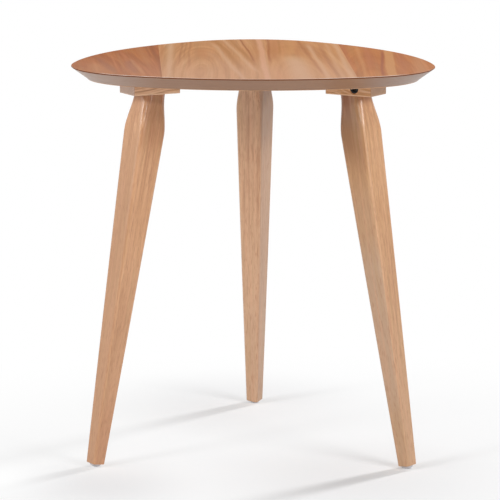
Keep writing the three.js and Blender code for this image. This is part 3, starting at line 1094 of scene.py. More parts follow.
@dataclass(frozen=True)
class TopOutline:
    """The rounded triangle: three corner arcs and three long side arcs that meet smoothly.

    Attributes:
        vertex_reach: Distance from the table's axis to the end of a corner.
    """

    vertex_reach: float = 0.265
    side_radius: float = 0.408
    corner_radius: float = 0.136

    @property
    def corner_centre(self) -> float:
        """Distance from the axis to the middle of a corner's arc."""
        return self.vertex_reach - self.corner_radius

    @property
    def side_centre(self) -> float:
        """Distance from the axis to the middle of a side's arc, on the far side of the axis."""
        apart = self.side_radius - self.corner_radius
        return (math.sqrt(4 * apart**2 - 3 * self.corner_centre**2) - self.corner_centre) / 2

    @property
    def half_side_sweep(self) -> float:
        """Half of the angle that a side's arc turns through."""
        apart = self.side_radius - self.corner_radius
        return math.asin(self.corner_centre * math.sin(FULL_TURN / 3) / apart)

    @property
    def axis_y(self) -> float:
        """Place of the table's axis, with the top's bounding box centred on the origin."""
        return (self.side_radius - self.side_centre - self.vertex_reach) / 2

    @property
    def half_width(self) -> float:
        """Half of the top's width from left to right."""
        return self.corner_centre * math.cos(FULL_TURN / 12) + self.corner_radius

    def arcs(self) -> list[Arc]:
        """The six arcs, counter-clockwise from the rear corner."""
        half_corner = FULL_TURN / 6 - self.half_side_sweep
        arcs = []
        for third in range(3):
            vertex = QUARTER_TURN + third * FULL_TURN / 3
            side = vertex + FULL_TURN / 6
            for angle, reach, radius, half in (
                (vertex, self.corner_centre, self.corner_radius, half_corner),
                (side, -self.side_centre, self.side_radius, self.half_side_sweep),
            ):
                centre = Vector((reach * math.cos(angle), reach * math.sin(angle) + self.axis_y, 0))
                arcs.append(Arc(centre, radius, angle - half, 2 * half))
        return arcs


@dataclass(frozen=True)
class LeafJoint:
    """A joint between two leaves: its place as a share of the half width, and its lean.

    Its place is where it crosses the middle of the top. The lean is in degrees, to the right
    towards the front.
    """

    place_share: float
    lean: float


@dataclass(frozen=True)
class TableTop:
    """The panel with its undercut edge, its face veneer in four leaves and its backing veneer.

    Attributes:
        height: Height of the face.
        thickness: Thickness of the finished panel.
        bevel_inset: How far the underside stands in from the edge.
        lip, lip_round: Height of the upright lip above the undercut, and rounding between them.
        arris_run: How far the face's eased edge reaches in.
        arris_foot: How far the eased edge stands in where the leaf's edge meets the lip.
        glint_share: Share of the veneer's thickness, at the eased edge, that carries the painted
            glint.
        arc_steps, arris_steps: Facets along each arc of the outline and across the eased edge.
        leaves: Name of each leaf, from the left, as the joints between them, with a material slot
            name that is not used.
    """

    outline: TopOutline
    height: float = 0.55
    thickness: float = 0.018
    veneer: float = 0.0006
    bevel_inset: float = 0.022
    lip: float = 0.0008
    lip_round: float = 0.0004
    arris_run: float = 0.0009
    arris_foot: float = 0.00006
    glint_share: float = 0.45
    arc_steps: int = 30
    arris_steps: int = 5
    joints: tuple[LeafJoint, ...] = (
        LeafJoint(-0.525, 3.5), LeafJoint(0.081, 1.5), LeafJoint(0.525, 2.5),
    )
    leaves: tuple[tuple[str, str], ...] = (
        ("left", "face_veneer_russet"),
        ("mid_left", "face_veneer_honey"),
        ("mid_right", "face_veneer_pale"),
        ("right", "face_veneer_tan"),
    )

    @property
    def board_top(self) -> float:
        """Height of the board below the face veneer."""
        return self.height - self.veneer

    @property
    def lip_bottom(self) -> float:
        """Height of the lip's lower edge."""
        return self.board_top - self.lip

    def swept_plate(self, name: str, profile: Sequence[Pair]) -> Piece:
        """Sweeps an edge profile round the outline and closes the plate above and below.

        Args:
            name: Name of the new object.
            profile: Pairs of distance out from the outline and height, from below to above.

        Returns:
            The closed plate.
        """
        arcs = self.outline.arcs()
        first = arcs[0]
        outwards = Vector((math.cos(first.start), math.sin(first.start), 0))
        points = [
            tuple(first.centre + outwards * (first.radius + out) + Vector((0, 0, height)))
            for out, height in profile
        ]
        plate = drawn_profile(name, points)
        with editing(plate):
            for arc in arcs:
                bpy.ops.mesh.spin(
                    steps=self.arc_steps, angle=-arc.sweep, center=arc.centre, axis=(0, 0, 1)
                )
            tidy_mesh()
            close_open_ends()
        return plate

    def core(self) -> Piece:
        """The board with its undercut, lacquered edge."""
        bottom = self.height - self.thickness + self.veneer
        slope = math.atan2(self.lip_bottom - bottom, self.bevel_inset)
        run = self.lip_round * math.cos(slope)
        rise = self.lip_round * math.sin(slope)
        return self.swept_plate("panel", [
            (-self.bevel_inset, bottom),
            (-run, self.lip_bottom - rise),
            (-run / 4, self.lip_bottom),
            (0.0, self.lip_bottom + self.lip_round / 2),
            (0.0, self.board_top - self.lip_round / 2),
            (-self.arris_foot, self.board_top),
        ])

    def backing(self) -> Piece:
        """The balancing veneer on the underside."""
        bottom = self.height - self.thickness
        ease = self.veneer / 4
        return self.swept_plate("underside_veneer", [
            (-self.bevel_inset - ease, bottom),
            (-self.bevel_inset, bottom + ease),
            (-self.bevel_inset, bottom + self.veneer),
        ])

    def face_sheet(self) -> Piece:
        """The whole face veneer with its eased edge, before it is sawn into leaves."""
        profile = [(-self.arris_foot, self.board_top)]
        for step in range(1, self.arris_steps + 1):
            angle = QUARTER_TURN * step / self.arris_steps
            out = self.arris_run * (math.cos(angle) - 1) - self.arris_foot
            profile.append((out, self.height - self.veneer * (1 - math.sin(angle))))
        return self.swept_plate("face_sheet", profile)

    def leaf(self, sheet: Piece, index: int) -> Piece:
        """Saws one leaf out of a copy of the sheet.

        Args:
            sheet: The whole face veneer.
            index: Number of the leaf, from the left.

        Returns:
            The leaf.
        """
        leaf = copied(sheet, f"leaf_{self.leaves[index][0]}")
        sides = [(joint, -1) for joint in self.joints[:index][-1:]]
        sides += [(joint, 1) for joint in self.joints[index:][:1]]
        for joint, side in sides:
            point = (joint.place_share * self.outline.half_width, self.outline.axis_y, self.height)
            clear_beyond(leaf, point, (side, side * math.tan(math.radians(joint.lean)), 0))
        return leaf

    def build(self, leaf_finishes: Sequence[Finish], edge: Finish, backing: Finish) -> None:
        """Models and dresses the whole top.

        Args:
            leaf_finishes: Materials of the four leaves, from the left.
            edge: Material of the board's edge.
            backing: Material of the underside.
        """
        hand_over(self.core(), "top_core", edge, BOARD_CREASE)
        hand_over(self.backing(), "backing_veneer", backing, BOARD_CREASE)
        sheet = self.face_sheet()
        for index, ((name, slot), finish) in enumerate(zip(self.leaves, leaf_finishes)):
            node = f"face_veneer_{name}"
            hand_over(self.leaf(sheet, index), node, finish, LEAF_CREASE)
        bpy.data.objects.remove(sheet)


# Corners: block, leg, connector and glide


class Corner(Enum):
    """The three corners, each with its name, direction and the turn of its leg's section."""

    REAR = ("rear", 90.0, 16.0)
    LEFT = ("left", 210.0, 55.5)
    RIGHT = ("right", 330.0, -55.5)

    def __init__(self, label: str, azimuth: float, ridge: float) -> None:
        """Names the three values of a corner.

        Args:
            label: Last word of the node names.
            azimuth: Direction from the table's axis, in degrees.
            ridge: Turn of the leg's section from having a ridge along that direction, in degrees.
        """
        self.label = label
        self.azimuth = azimuth
        self.ridge = ridge


@dataclass(frozen=True)
class Stance:
    """Where a corner's block stands and how its leg leans.

    Attributes:
        axis_y: Place of the table's axis, front to back.
        block_reach: Distance from the axis to the middle of the block.
        block_bottom: Height of the block's underside.
        foot_reach: Distance from the axis to where the leg's own axis meets the floor.
    """

    corner: Corner
    axis_y: float
    block_reach: float = 0.1615
    block_bottom: float = 0.513
    foot_reach: float = 0.249

    @property
    def splay(self) -> float:
        """Lean of the leg from upright, in radians."""
        return math.atan2(self.foot_reach - self.block_reach, self.block_bottom)

    @property
    def block_frame(self) -> Matrix:
        """Frame of the block: Z up from its underside, X outwards along the radius."""
        return (
            Matrix.Translation((0, self.axis_y, 0))
            @ Matrix.Rotation(math.radians(self.corner.azimuth), 4, "Z")
            @ Matrix.Translation((self.block_reach, 0, self.block_bottom))
        )

    @property
    def leg_frame(self) -> Matrix:
        """Frame of the leg: Z up along the leg, from where its axis meets the block."""
        return self.block_frame @ Matrix.Rotation(-self.splay, 4, "Y")

    def named(self, kind: str) -> str:
        """Name of this corner's piece of a kind."""
        return f"{kind}_{self.corner.label}"


@dataclass(frozen=True)
class Glide:
    """The nail-on glide under a foot: a low dome with a rim and a pocket for its nail.

    Attributes:
        rim_height, dome_height: Height of the rim, and of the dome below it.
        floor_flat: How much of the dome is worn off at the floor.
        head_radius, head_height: Size of the nail's head.
        head_cover: Thickness of the plastic below the head.
        rim_ease: Rounding of the rim's upper edge.
        sides, dome_steps, ease_steps: Facets round the glide, up the dome and up the rounding.
    """

    radius: float = 0.0075
    rim_height: float = 0.0015
    dome_height: float = 0.003
    floor_flat: float = 0.0003
    nail_radius: float = 0.0012
    head_radius: float = 0.003
    head_height: float = 0.001
    head_cover: float = 0.0012
    rim_ease: float = 0.0003
    sides: int = 56
    dome_steps: int = 12
    ease_steps: int = 4

    @property
    def height(self) -> float:
        """Height from the tip of the dome to the foot."""
        return self.rim_height + self.dome_height

    @property
    def dome_radius(self) -> float:
        """Radius of the sphere that the dome is cut from."""
        return (self.radius**2 + self.dome_height**2) / (2 * self.dome_height)

    def tip_along(self, stance: Stance) -> float:
        """Distance along the leg from the block's underside to the tip of the dome."""
        centre_height = self.dome_radius - self.floor_flat
        return (stance.block_bottom - centre_height) / math.cos(stance.splay) + self.dome_radius

    def build(self, stance: Stance, finish: Finish) -> None:
        """Models one glide, leans it with its leg and wears it flat at the floor.

        Args:
            stance: The corner that it stands at and the leg's lean.
            finish: Material of the glide.
        """
        sweep = math.asin(self.radius / self.dome_radius)
        dome = arc_pairs(
            (0.0, self.dome_radius), self.dome_radius, -QUARTER_TURN, sweep - QUARTER_TURN,
            self.dome_steps,
        )
        eased = (self.radius - self.rim_ease, self.height - self.rim_ease)
        rim = arc_pairs(eased, self.rim_ease, 0.0, QUARTER_TURN, self.ease_steps)
        shank = self.nail_radius + FIT_GAP
        pocket = self.head_radius + FIT_GAP
        pocket_top = self.head_cover + self.head_height + FIT_GAP
        pocket_bottom = self.head_cover - FIT_GAP
        piece = turned(stance.named("foot_glide"), [
            (0.0, 0.0), *dome[1:], *rim, (shank, self.height), (shank, pocket_top),
            (pocket, pocket_top), (pocket, pocket_bottom), (0.0, pocket_bottom),
        ], self.sides)
        place(piece, stance.leg_frame @ Matrix.Translation((0, 0, -self.tip_along(stance))))
        clear_beyond(piece, (0, 0, 0), (0, 0, -1))
        hand_over(piece, stance.named("glide"), finish, GLIDE_CREASE)


@dataclass(frozen=True)
class Joinery:
    """Sizes of the connector, stud, dowel and wood screws that hold a leg and its block.

    Attributes:
        stud_offset: Distance of the stud outwards from the middle of the block.
        stud_thread_radius: Radius over the thread, which goes into the leg.
        stud_top: Height of the stud's top above the block's underside.
        dowel_offset: Distance of the dowel inwards from the middle of the block.
        barrel_height: Height of the barrel's axis above the block's underside.
        barrel_recess: How far the barrel's face is sunk into the block.
        barrel_tail: How far the barrel reaches past the stud.
        barrel_ease: Chamfer of the barrel's rims.
        socket_recess: How far the socket screw is sunk into the barrel.
        hex_across: Size of the hexagon socket across its flats.
        screw_head_recess: How far a wood screw's head is sunk into the block.
        screw_end_margin, screw_side_margin: Distance of the screws from the block's ends and sides.
        screw_sides: Side along and across the block that each screw stands on.
    """

    stud_offset: float = 0.009
    stud_radius: float = 0.003
    stud_thread_radius: float = 0.0035
    stud_wood_depth: float = 0.028
    stud_top: float = 0.0135
    dowel_offset: float = 0.009
    dowel_radius: float = 0.004
    dowel_block_depth: float = 0.013
    dowel_leg_depth: float = 0.017
    barrel_radius: float = 0.006
    barrel_height: float = 0.0095
    barrel_recess: float = 0.0006
    barrel_tail: float = 0.006
    barrel_ease: float = 0.0007
    socket_radius: float = 0.003
    socket_recess: float = 0.0022
    hex_across: float = 0.0034
    hex_depth: float = 0.003
    screw_radius: float = 0.002
    screw_head_radius: float = 0.004
    screw_head_height: float = 0.0026
    screw_head_recess: float = 0.0004
    screw_end_margin: float = 0.007
    screw_side_margin: float = 0.008
    screw_sides: tuple[tuple[int, int], ...] = ((1, 1), (-1, 1), (-1, -1), (1, -1))
    nail_depth: float = 0.015
    hole_sides: int = 32
    nail_hole_sides: int = 24


@dataclass(frozen=True)
class MountingBlock:
    """The wooden block between the top and a leg, bored for the connector, stud, dowel and screws.

    Attributes:
        length, width, height: Size along the radius, across it and upwards.
        ease, ease_steps: Rounding of the edges, and its facets.
        bore_sides: Facets round a bore.
    """

    joinery: Joinery
    length: float = 0.07
    width: float = 0.044
    height: float = 0.019
    ease: float = 0.0008
    ease_steps: int = 3
    bore_sides: int = 40

    def bore(self, radius: float, depth: float, mouth: Matrix) -> Piece:
        """A blind round cutter with a slightly eased mouth.

        Args:
            radius: Radius of what goes in.
            depth: How far that goes in.
            mouth: Frame of the hole's mouth, with Z into the block.

        Returns:
            The cutter.
        """
        radius, depth = radius + FIT_GAP, depth + FIT_GAP
        wide = radius + self.ease / 2
        cutter = turned("bore", [
            (0.0, -CUT_OVERRUN), (wide, -CUT_OVERRUN), (wide, 0.0), (radius, self.ease / 2),
            (radius, depth), (0.0, depth),
        ], self.bore_sides)
        place(cutter, mouth)
        return cutter

    def screw_hole(self, side_x: int, side_y: int) -> Piece:
        """A cutter for the countersunk screw on one side along and across the block."""
        sizes = self.joinery
        radius = sizes.screw_radius + FIT_GAP
        head = sizes.screw_head_radius + FIT_GAP
        recess = sizes.screw_head_recess + FIT_GAP
        through = self.height + CUT_OVERRUN
        cutter = turned("screw_hole", [
            (0.0, -CUT_OVERRUN), (head, -CUT_OVERRUN), (head, recess),
            (radius, recess + sizes.screw_head_height), (radius, through), (0.0, through),
        ], self.bore_sides)
        at_x = side_x * (self.length / 2 - sizes.screw_end_margin)
        at_y = side_y * (self.width / 2 - sizes.screw_side_margin)
        place(cutter, Matrix.Translation((at_x, at_y, 0)))
        return cutter

    def build(self, stance: Stance, finish: Finish) -> None:
        """Models one block and sets it under the top.

        Args:
            stance: The corner and place that it stands at.
            finish: Material of the block.
        """
        sizes = self.joinery
        piece = started(
            stance.named("mounting_block"), bpy.ops.mesh.primitive_cube_add, size=1,
            location=(0, 0, self.height / 2), scale=(self.length, self.width, self.height),
        )
        with editing(piece):
            bpy.ops.mesh.bevel(offset=self.ease, segments=self.ease_steps, affect="EDGES")
        side = Matrix.Translation((sizes.stud_offset, -self.width / 2, sizes.barrel_height))
        side_in = side @ Matrix.Rotation(-QUARTER_TURN, 4, "X")
        for radius, depth, mouth in (
            (sizes.barrel_radius, self.width / 2 + sizes.barrel_tail, side_in),
            (sizes.stud_radius, sizes.stud_top, Matrix.Translation((sizes.stud_offset, 0, 0))),
            (sizes.dowel_radius, sizes.dowel_block_depth,
             Matrix.Translation((-sizes.dowel_offset, 0, 0))),
        ):
            cut(piece, self.bore(radius, depth, mouth))
        for side_x, side_y in sizes.screw_sides:
            cut(piece, self.screw_hole(side_x, side_y))
        place(piece, stance.block_frame)
        hand_over(piece, stance.named("block"), finish, WOOD_CREASE)


@dataclass(frozen=True)
class Leg:
    """A leg of rounded square section: narrow at the neck, full at the shoulder, then tapered.

    Attributes:
        length: Length along its axis.
        shoulder_drop: Distance from the block to the fullest section.
        neck_side, neck_rounding: Side and corner radius of the section at the block.
        taper_swell: How far the taper bulges in its middle.
        foot_ease: Rounding of the foot's lower edge.
        shoulder_rings, taper_rings, ease_rings: Sections down to the shoulder, down to the foot
            and in the foot's rounding.
        corner_facets: Facets in each rounded corner.
    """

    joinery: Joinery
    length: float
    nail_radius: float
    shoulder_drop: float = 0.054
    neck_side: float = 0.0367
    neck_rounding: float = 0.013
    shoulder_side: float = 0.0432
    shoulder_rounding: float = 0.007
    foot_side: float = 0.0194
    foot_rounding: float = 0.0035
    taper_swell: float = 0.0005
    foot_ease: float = 0.0008
    shoulder_rings: int = 20
    taper_rings: int = 18
    ease_rings: int = 4
    corner_facets: int = 8

    def section(self, down: float) -> Pair:
        """Side and corner radius of the section at a distance down from the block."""
        taper = max(0.0, down - self.shoulder_drop) / (self.length - self.shoulder_drop)
        side = between(self.shoulder_side, self.foot_side, taper)
        side += 4 * self.taper_swell * taper * (1 - taper)
        rounding = between(self.shoulder_rounding, self.foot_rounding, taper)
        share = min(max(down / self.shoulder_drop, 0.0), 1.0)
        share = share * share * (3 - 2 * share)
        return between(self.neck_side, side, share), between(self.neck_rounding, rounding, share)

    def sections(self) -> list[Point]:
        """Side, corner radius and height of every section, from the foot up past the block."""
        foot_side, foot_rounding = self.section(self.length)
        rings = []
        for step in range(self.ease_rings):
            angle = QUARTER_TURN * step / self.ease_rings
            inset = self.foot_ease * (1 - math.sin(angle))
            rise = self.foot_ease * (1 - math.cos(angle))
            rings.append((foot_side - 2 * inset, foot_rounding - inset, rise - self.length))
        taper_length = self.length - self.foot_ease - self.shoulder_drop
        downs = [
            self.shoulder_drop + taper_length * step / self.taper_rings
            for step in range(self.taper_rings, 0, -1)
        ]
        downs += [
            self.shoulder_drop * step / self.shoulder_rings
            for step in range(self.shoulder_rings, -1, -1)
        ]
        rings += [(*self.section(down), -down) for down in downs]
        rings.append((*self.section(0.0), self.neck_side / 2))
        return rings

    def lofted(self, name: str) -> Piece:
        """The leg's outside, bridged from section to section."""
        rings = self.sections()
        plane = bpy.ops.mesh.primitive_plane_add
        piece = started(name, plane, size=rings[0][0], location=(0, 0, rings[0][2]))
        with editing(piece):
            for number, (side, rounding, height) in enumerate(rings):
                if number > 0:
                    bpy.ops.mesh.select_all(action="DESELECT")
                    plane(size=side, location=(0, 0, height))
                bpy.ops.mesh.bevel(
                    offset=rounding, segments=self.corner_facets, affect="VERTICES",
                    offset_type="OFFSET",
                )
                bpy.ops.mesh.delete(type="ONLY_FACE")
            bpy.ops.mesh.select_all(action="SELECT")
            bpy.ops.mesh.bridge_edge_loops()
            close_open_ends()
        return piece

    def bore(self, piece: Piece, stance: Stance) -> None:
        """Bores the leg, in its own frame, for the stud, the dowel and the glide's nail.

        Args:
            piece: The leg.
            stance: The corner that it stands at and its lean.
        """
        sizes = self.joinery
        upright = Matrix.Rotation(stance.splay, 4, "Y")
        for radius, depth, offset in (
            (sizes.stud_thread_radius, sizes.stud_wood_depth, sizes.stud_offset),
            (sizes.dowel_radius, sizes.dowel_leg_depth, -sizes.dowel_offset),
        ):
            low, high = -depth - FIT_GAP, self.neck_side / 2
            hole = bar("hole", radius + FIT_GAP, low, high, sizes.hole_sides)
            place(hole, upright @ Matrix.Translation((offset, 0, 0)))
            cut(piece, hole)
        low, high = -self.length - CUT_OVERRUN, -self.length + sizes.nail_depth + FIT_GAP
        cut(piece, bar("nail_hole", self.nail_radius + FIT_GAP, low, high, sizes.nail_hole_sides))

    def build(self, stance: Stance, finish: Finish) -> None:
        """Models one leg and stands it under its block.

        Args:
            stance: The corner that it stands at and its lean.
            finish: Material of the leg.
        """
        piece = self.lofted(stance.named("turned_leg"))
        turn = math.radians(stance.corner.ridge) - FULL_TURN / 8
        place(piece, Matrix.Rotation(turn, 4, "Z"))
        sine, cosine = math.sin(stance.splay), math.cos(stance.splay)
        clear_beyond(piece, (0, 0, -FIT_GAP / cosine), (sine, 0, cosine))
        self.bore(piece, stance)
        place(piece, stance.leg_frame)
        hand_over(piece, stance.named("leg"), finish, WOOD_CREASE)


@dataclass(frozen=True)
class Connector:
    """The black barrel in a block's side and the socket screw in its middle.

    Attributes:
        sides: Facets round barrel and screw.
        screw_point, screw_tip: Length of the socket screw's cone, and radius of its blunt tip.
        notch_radius: Radius of the stud's notch, which the cone presses on.
    """

    joinery: Joinery
    block_width: float
    sides: int = 56
    screw_point: float = 0.0026
    screw_tip: float = 0.0008
    notch_radius: float = 0.002

    def fit(self, piece: Piece, node: str, stance: Stance, finish: Finish) -> None:
        """Sets a piece into the block's side, from the stud's axis outwards, and hands it over.

        Args:
            piece: The piece, with Z inwards along the barrel.
            node: First words of the solid's name.
            stance: The corner that it stands at.
            finish: Material of the piece.
        """
        middle = Matrix.Translation((self.joinery.stud_offset, 0, self.joinery.barrel_height))
        place(piece, stance.block_frame @ middle @ Matrix.Rotation(-QUARTER_TURN, 4, "X"))
        hand_over(piece, stance.named(node), finish, STEEL_CREASE)

    def build(self, stance: Stance, finish: Finish) -> None:
        """Models one barrel with its holes for screw and stud, and one socket screw.

        Args:
            stance: The corner that they stand at.
            finish: Material of both.
        """
        sizes = self.joinery
        face = sizes.barrel_recess - self.block_width / 2
        ease, radius, tail = sizes.barrel_ease, sizes.barrel_radius, sizes.barrel_tail
        hole = sizes.socket_radius + FIT_GAP
        barrel = turned(stance.named("barrel"), [
            (0.0, 0.0), (hole, 0.0), (hole, face + ease), (hole + ease, face),
            (radius - ease, face), (radius - ease / 3, face + ease / 3), (radius, face + ease),
            (radius, tail - ease), (radius - ease, tail), (0.0, tail),
        ], self.sides)
        low, high = -radius - CUT_OVERRUN, sizes.stud_top - sizes.barrel_height + FIT_GAP
        stud_hole = bar("stud_hole", sizes.stud_radius + FIT_GAP, low, high, sizes.hole_sides)
        place(stud_hole, Matrix.Rotation(QUARTER_TURN, 4, "X"))
        cut(barrel, stud_hole)
        self.fit(barrel, "connector_barrel", stance, finish)

        head = face + sizes.socket_recess
        tip = -self.notch_radius - FIT_GAP
        ease, radius = sizes.socket_radius / 6, sizes.socket_radius
        screw = turned(stance.named("hex_screw"), [
            (0.0, head), (radius - ease, head), (radius, head + ease),
            (radius, tip - self.screw_point), (self.screw_tip, tip), (0.0, tip),
        ], self.sides)
        across = sizes.hex_across / 2 / math.cos(FULL_TURN / 12)
        low, high = head - CUT_OVERRUN, head + sizes.hex_depth
        cut(screw, bar("socket", across, low, high, HEXAGON_SIDES))
        self.fit(screw, "socket_screw", stance, finish)


# Studio


def set_up(data: bpy.types.Camera | bpy.types.Light, matrix: Matrix) -> bpy.types.Object:
    """Puts a camera or a lamp in the scene and gives its object."""
    made = bpy.data.objects.new(data.name, data)
    bpy.context.scene.collection.objects.link(made)
    made.matrix_world = matrix
    return made


@dataclass(frozen=True)
class PhotoCamera:
    """The photograph's camera.

    Attributes:
        pitch: Tilt from looking straight down, in degrees.
        yaw, roll: Turns about the vertical and about its own axis, in degrees.
        lens, sensor: Focal length and sensor width in millimetres.
    """

    location: Point = (0.0444, -3.6902, 0.9696)
    pitch: float = 79.38
    yaw: float = 0.7596
    roll: float = 0.178
    lens: float = 191.416
    sensor: float = 36.0

    def build(self) -> None:
        """Adds the camera and makes it the scene's own."""
        data = bpy.data.cameras.new("photo_camera")
        data.lens = self.lens
        data.sensor_width = self.sensor
        matrix = Matrix.Translation(self.location)
        for angle, axis in ((self.yaw, "Z"), (self.pitch, "X"), (self.roll, "Z")):
            matrix = matrix @ Matrix.Rotation(math.radians(angle), 4, axis)
        bpy.context.scene.camera = set_up(data, matrix)


@dataclass(frozen=True)
class SoftLamp:
    """A flat studio lamp that points at the table.

    Attributes:
        azimuth: Direction of the lamp from the table, in degrees from +X towards +Y.
        elevation: Height of the lamp as an angle, in degrees.
        distance: Distance from the table's middle.
        size, breadth: Height of the lamp, and its width as a multiple of that.
        power: Power in watts.
    """

    name: str
    azimuth: float
    elevation: float
    distance: float
    size: float
    power: float
    breadth: float = 1.0

    def build(self, target: Vector) -> None:
        """Adds the lamp.

        Args:
            target: The point that it faces.
        """
        azimuth, elevation = math.radians(self.azimuth), math.radians(self.elevation)
        towards = Vector((
            math.cos(elevation) * math.cos(azimuth),
            math.cos(elevation) * math.sin(azimuth),
            math.sin(elevation),
        ))
        data = bpy.data.lights.new(self.name, "AREA")
        data.shape = "RECTANGLE"
        data.size = self.size * self.breadth
        data.size_y = self.size
        data.energy = self.power
        turn = towards.to_track_quat("Z", "Y").to_matrix().to_4x4()
        set_up(data, Matrix.Translation(target + towards * self.distance) @ turn)


@dataclass(frozen=True)
class ShadePool:
    """A stretch of floor that takes more of the table's soft shade.

    Attributes:
        reach: Distance from its centre at which it has died out.
        depth: How much less plain white it holds in its centre.
    """

    centre: Point
    reach: float
    depth: float


@dataclass(frozen=True)
class Studio:
    """Plain pale floor, white surroundings and soft lamps.

    Attributes:
        sky: Strength of the surroundings as light.
        floor_reach: Half of the floor's side.
        floor_cuts: Cuts across the stretch of floor below the table.
        near_white: Share of plain white in the floor near the table.
        fade_centre: Middle of the lit stretch of floor.
        fade_start, fade_end: Distances between which the floor turns plain white.
    """

    lamps: tuple[SoftLamp, ...]
    pools: tuple[ShadePool, ...]
    sky: float = 0.08
    floor_reach: float = 30.0
    floor_cuts: int = 7
    floor_colour: Colour = (0.9, 0.91, 0.925, 1.0)
    near_white: float = 0.68
    fade_centre: Point = (0.1, -0.3, 0.0)
    fade_start: float = 0.2
    fade_end: float = 0.9

    def floor_finish(self) -> Finish:
        """White floor: lit near the table, plain white further off."""
        material = bpy.data.materials.new("studio_floor")
        material.use_nodes = True
        graph = NodeGraph(material.node_tree)
        away = graph.away_from(self.fade_centre)
        far = graph.spread(away, self.fade_start, self.fade_end, self.near_white, 1.0)
        for pool in self.pools:
            shade = graph.spread(graph.away_from(pool.centre), 0.0, pool.reach, pool.depth, 0.0)
            far = graph.math("SUBTRACT", far, shade, clamp=True)
        share = graph.math("MULTIPLY", far, graph.seen_rays())
        matt = graph.node("ShaderNodeBsdfDiffuse", {"Color": self.floor_colour}).outputs[0]
        white = graph.node("ShaderNodeEmission", {"Color": WHITE, "Strength": 1.0}).outputs[0]
        mixed = graph.node("ShaderNodeMixShader", {0: share, 1: matt, 2: white})
        graph.node("ShaderNodeOutputMaterial", {"Surface": mixed.outputs[0]})
        return material

    def build_floor(self) -> None:
        """Adds the floor, in rings of faces that widen away from the table."""
        floor = started("studio_floor", bpy.ops.mesh.primitive_plane_add, size=2.0)
        with editing(floor):
            bpy.ops.mesh.subdivide(number_cuts=self.floor_cuts)
            select_open_rims()
            bpy.ops.mesh.extrude_edges_move()
            bpy.ops.transform.resize(value=(self.floor_reach,) * 3)
        dress(floor, self.floor_finish())

    def build_sky(self) -> None:
        """White surroundings, weaker as a light than they look."""
        world = bpy.data.worlds.new("studio_surroundings")
        bpy.context.scene.world = world
        world.use_nodes = True
        graph = NodeGraph(world.node_tree)
        strength = graph.spread(graph.seen_rays(), 0.0, 1.0, self.sky, 1.0, Ease.STRAIGHT)
        light = graph.node("ShaderNodeBackground", {"Color": WHITE, "Strength": strength})
        graph.node("ShaderNodeOutputWorld", {"Surface": light.outputs[0]})

    def build(self) -> None:
        """Adds floor, surroundings and lamps, and sets the plain view."""
        self.build_floor()
        self.build_sky()
        middle = Vector((0, 0, CAD_BOX[1].z / 2))
        for lamp in self.lamps:
            lamp.build(middle)
        bpy.context.scene.view_settings.view_transform = "Standard"


# Colours and figure chosen for this table


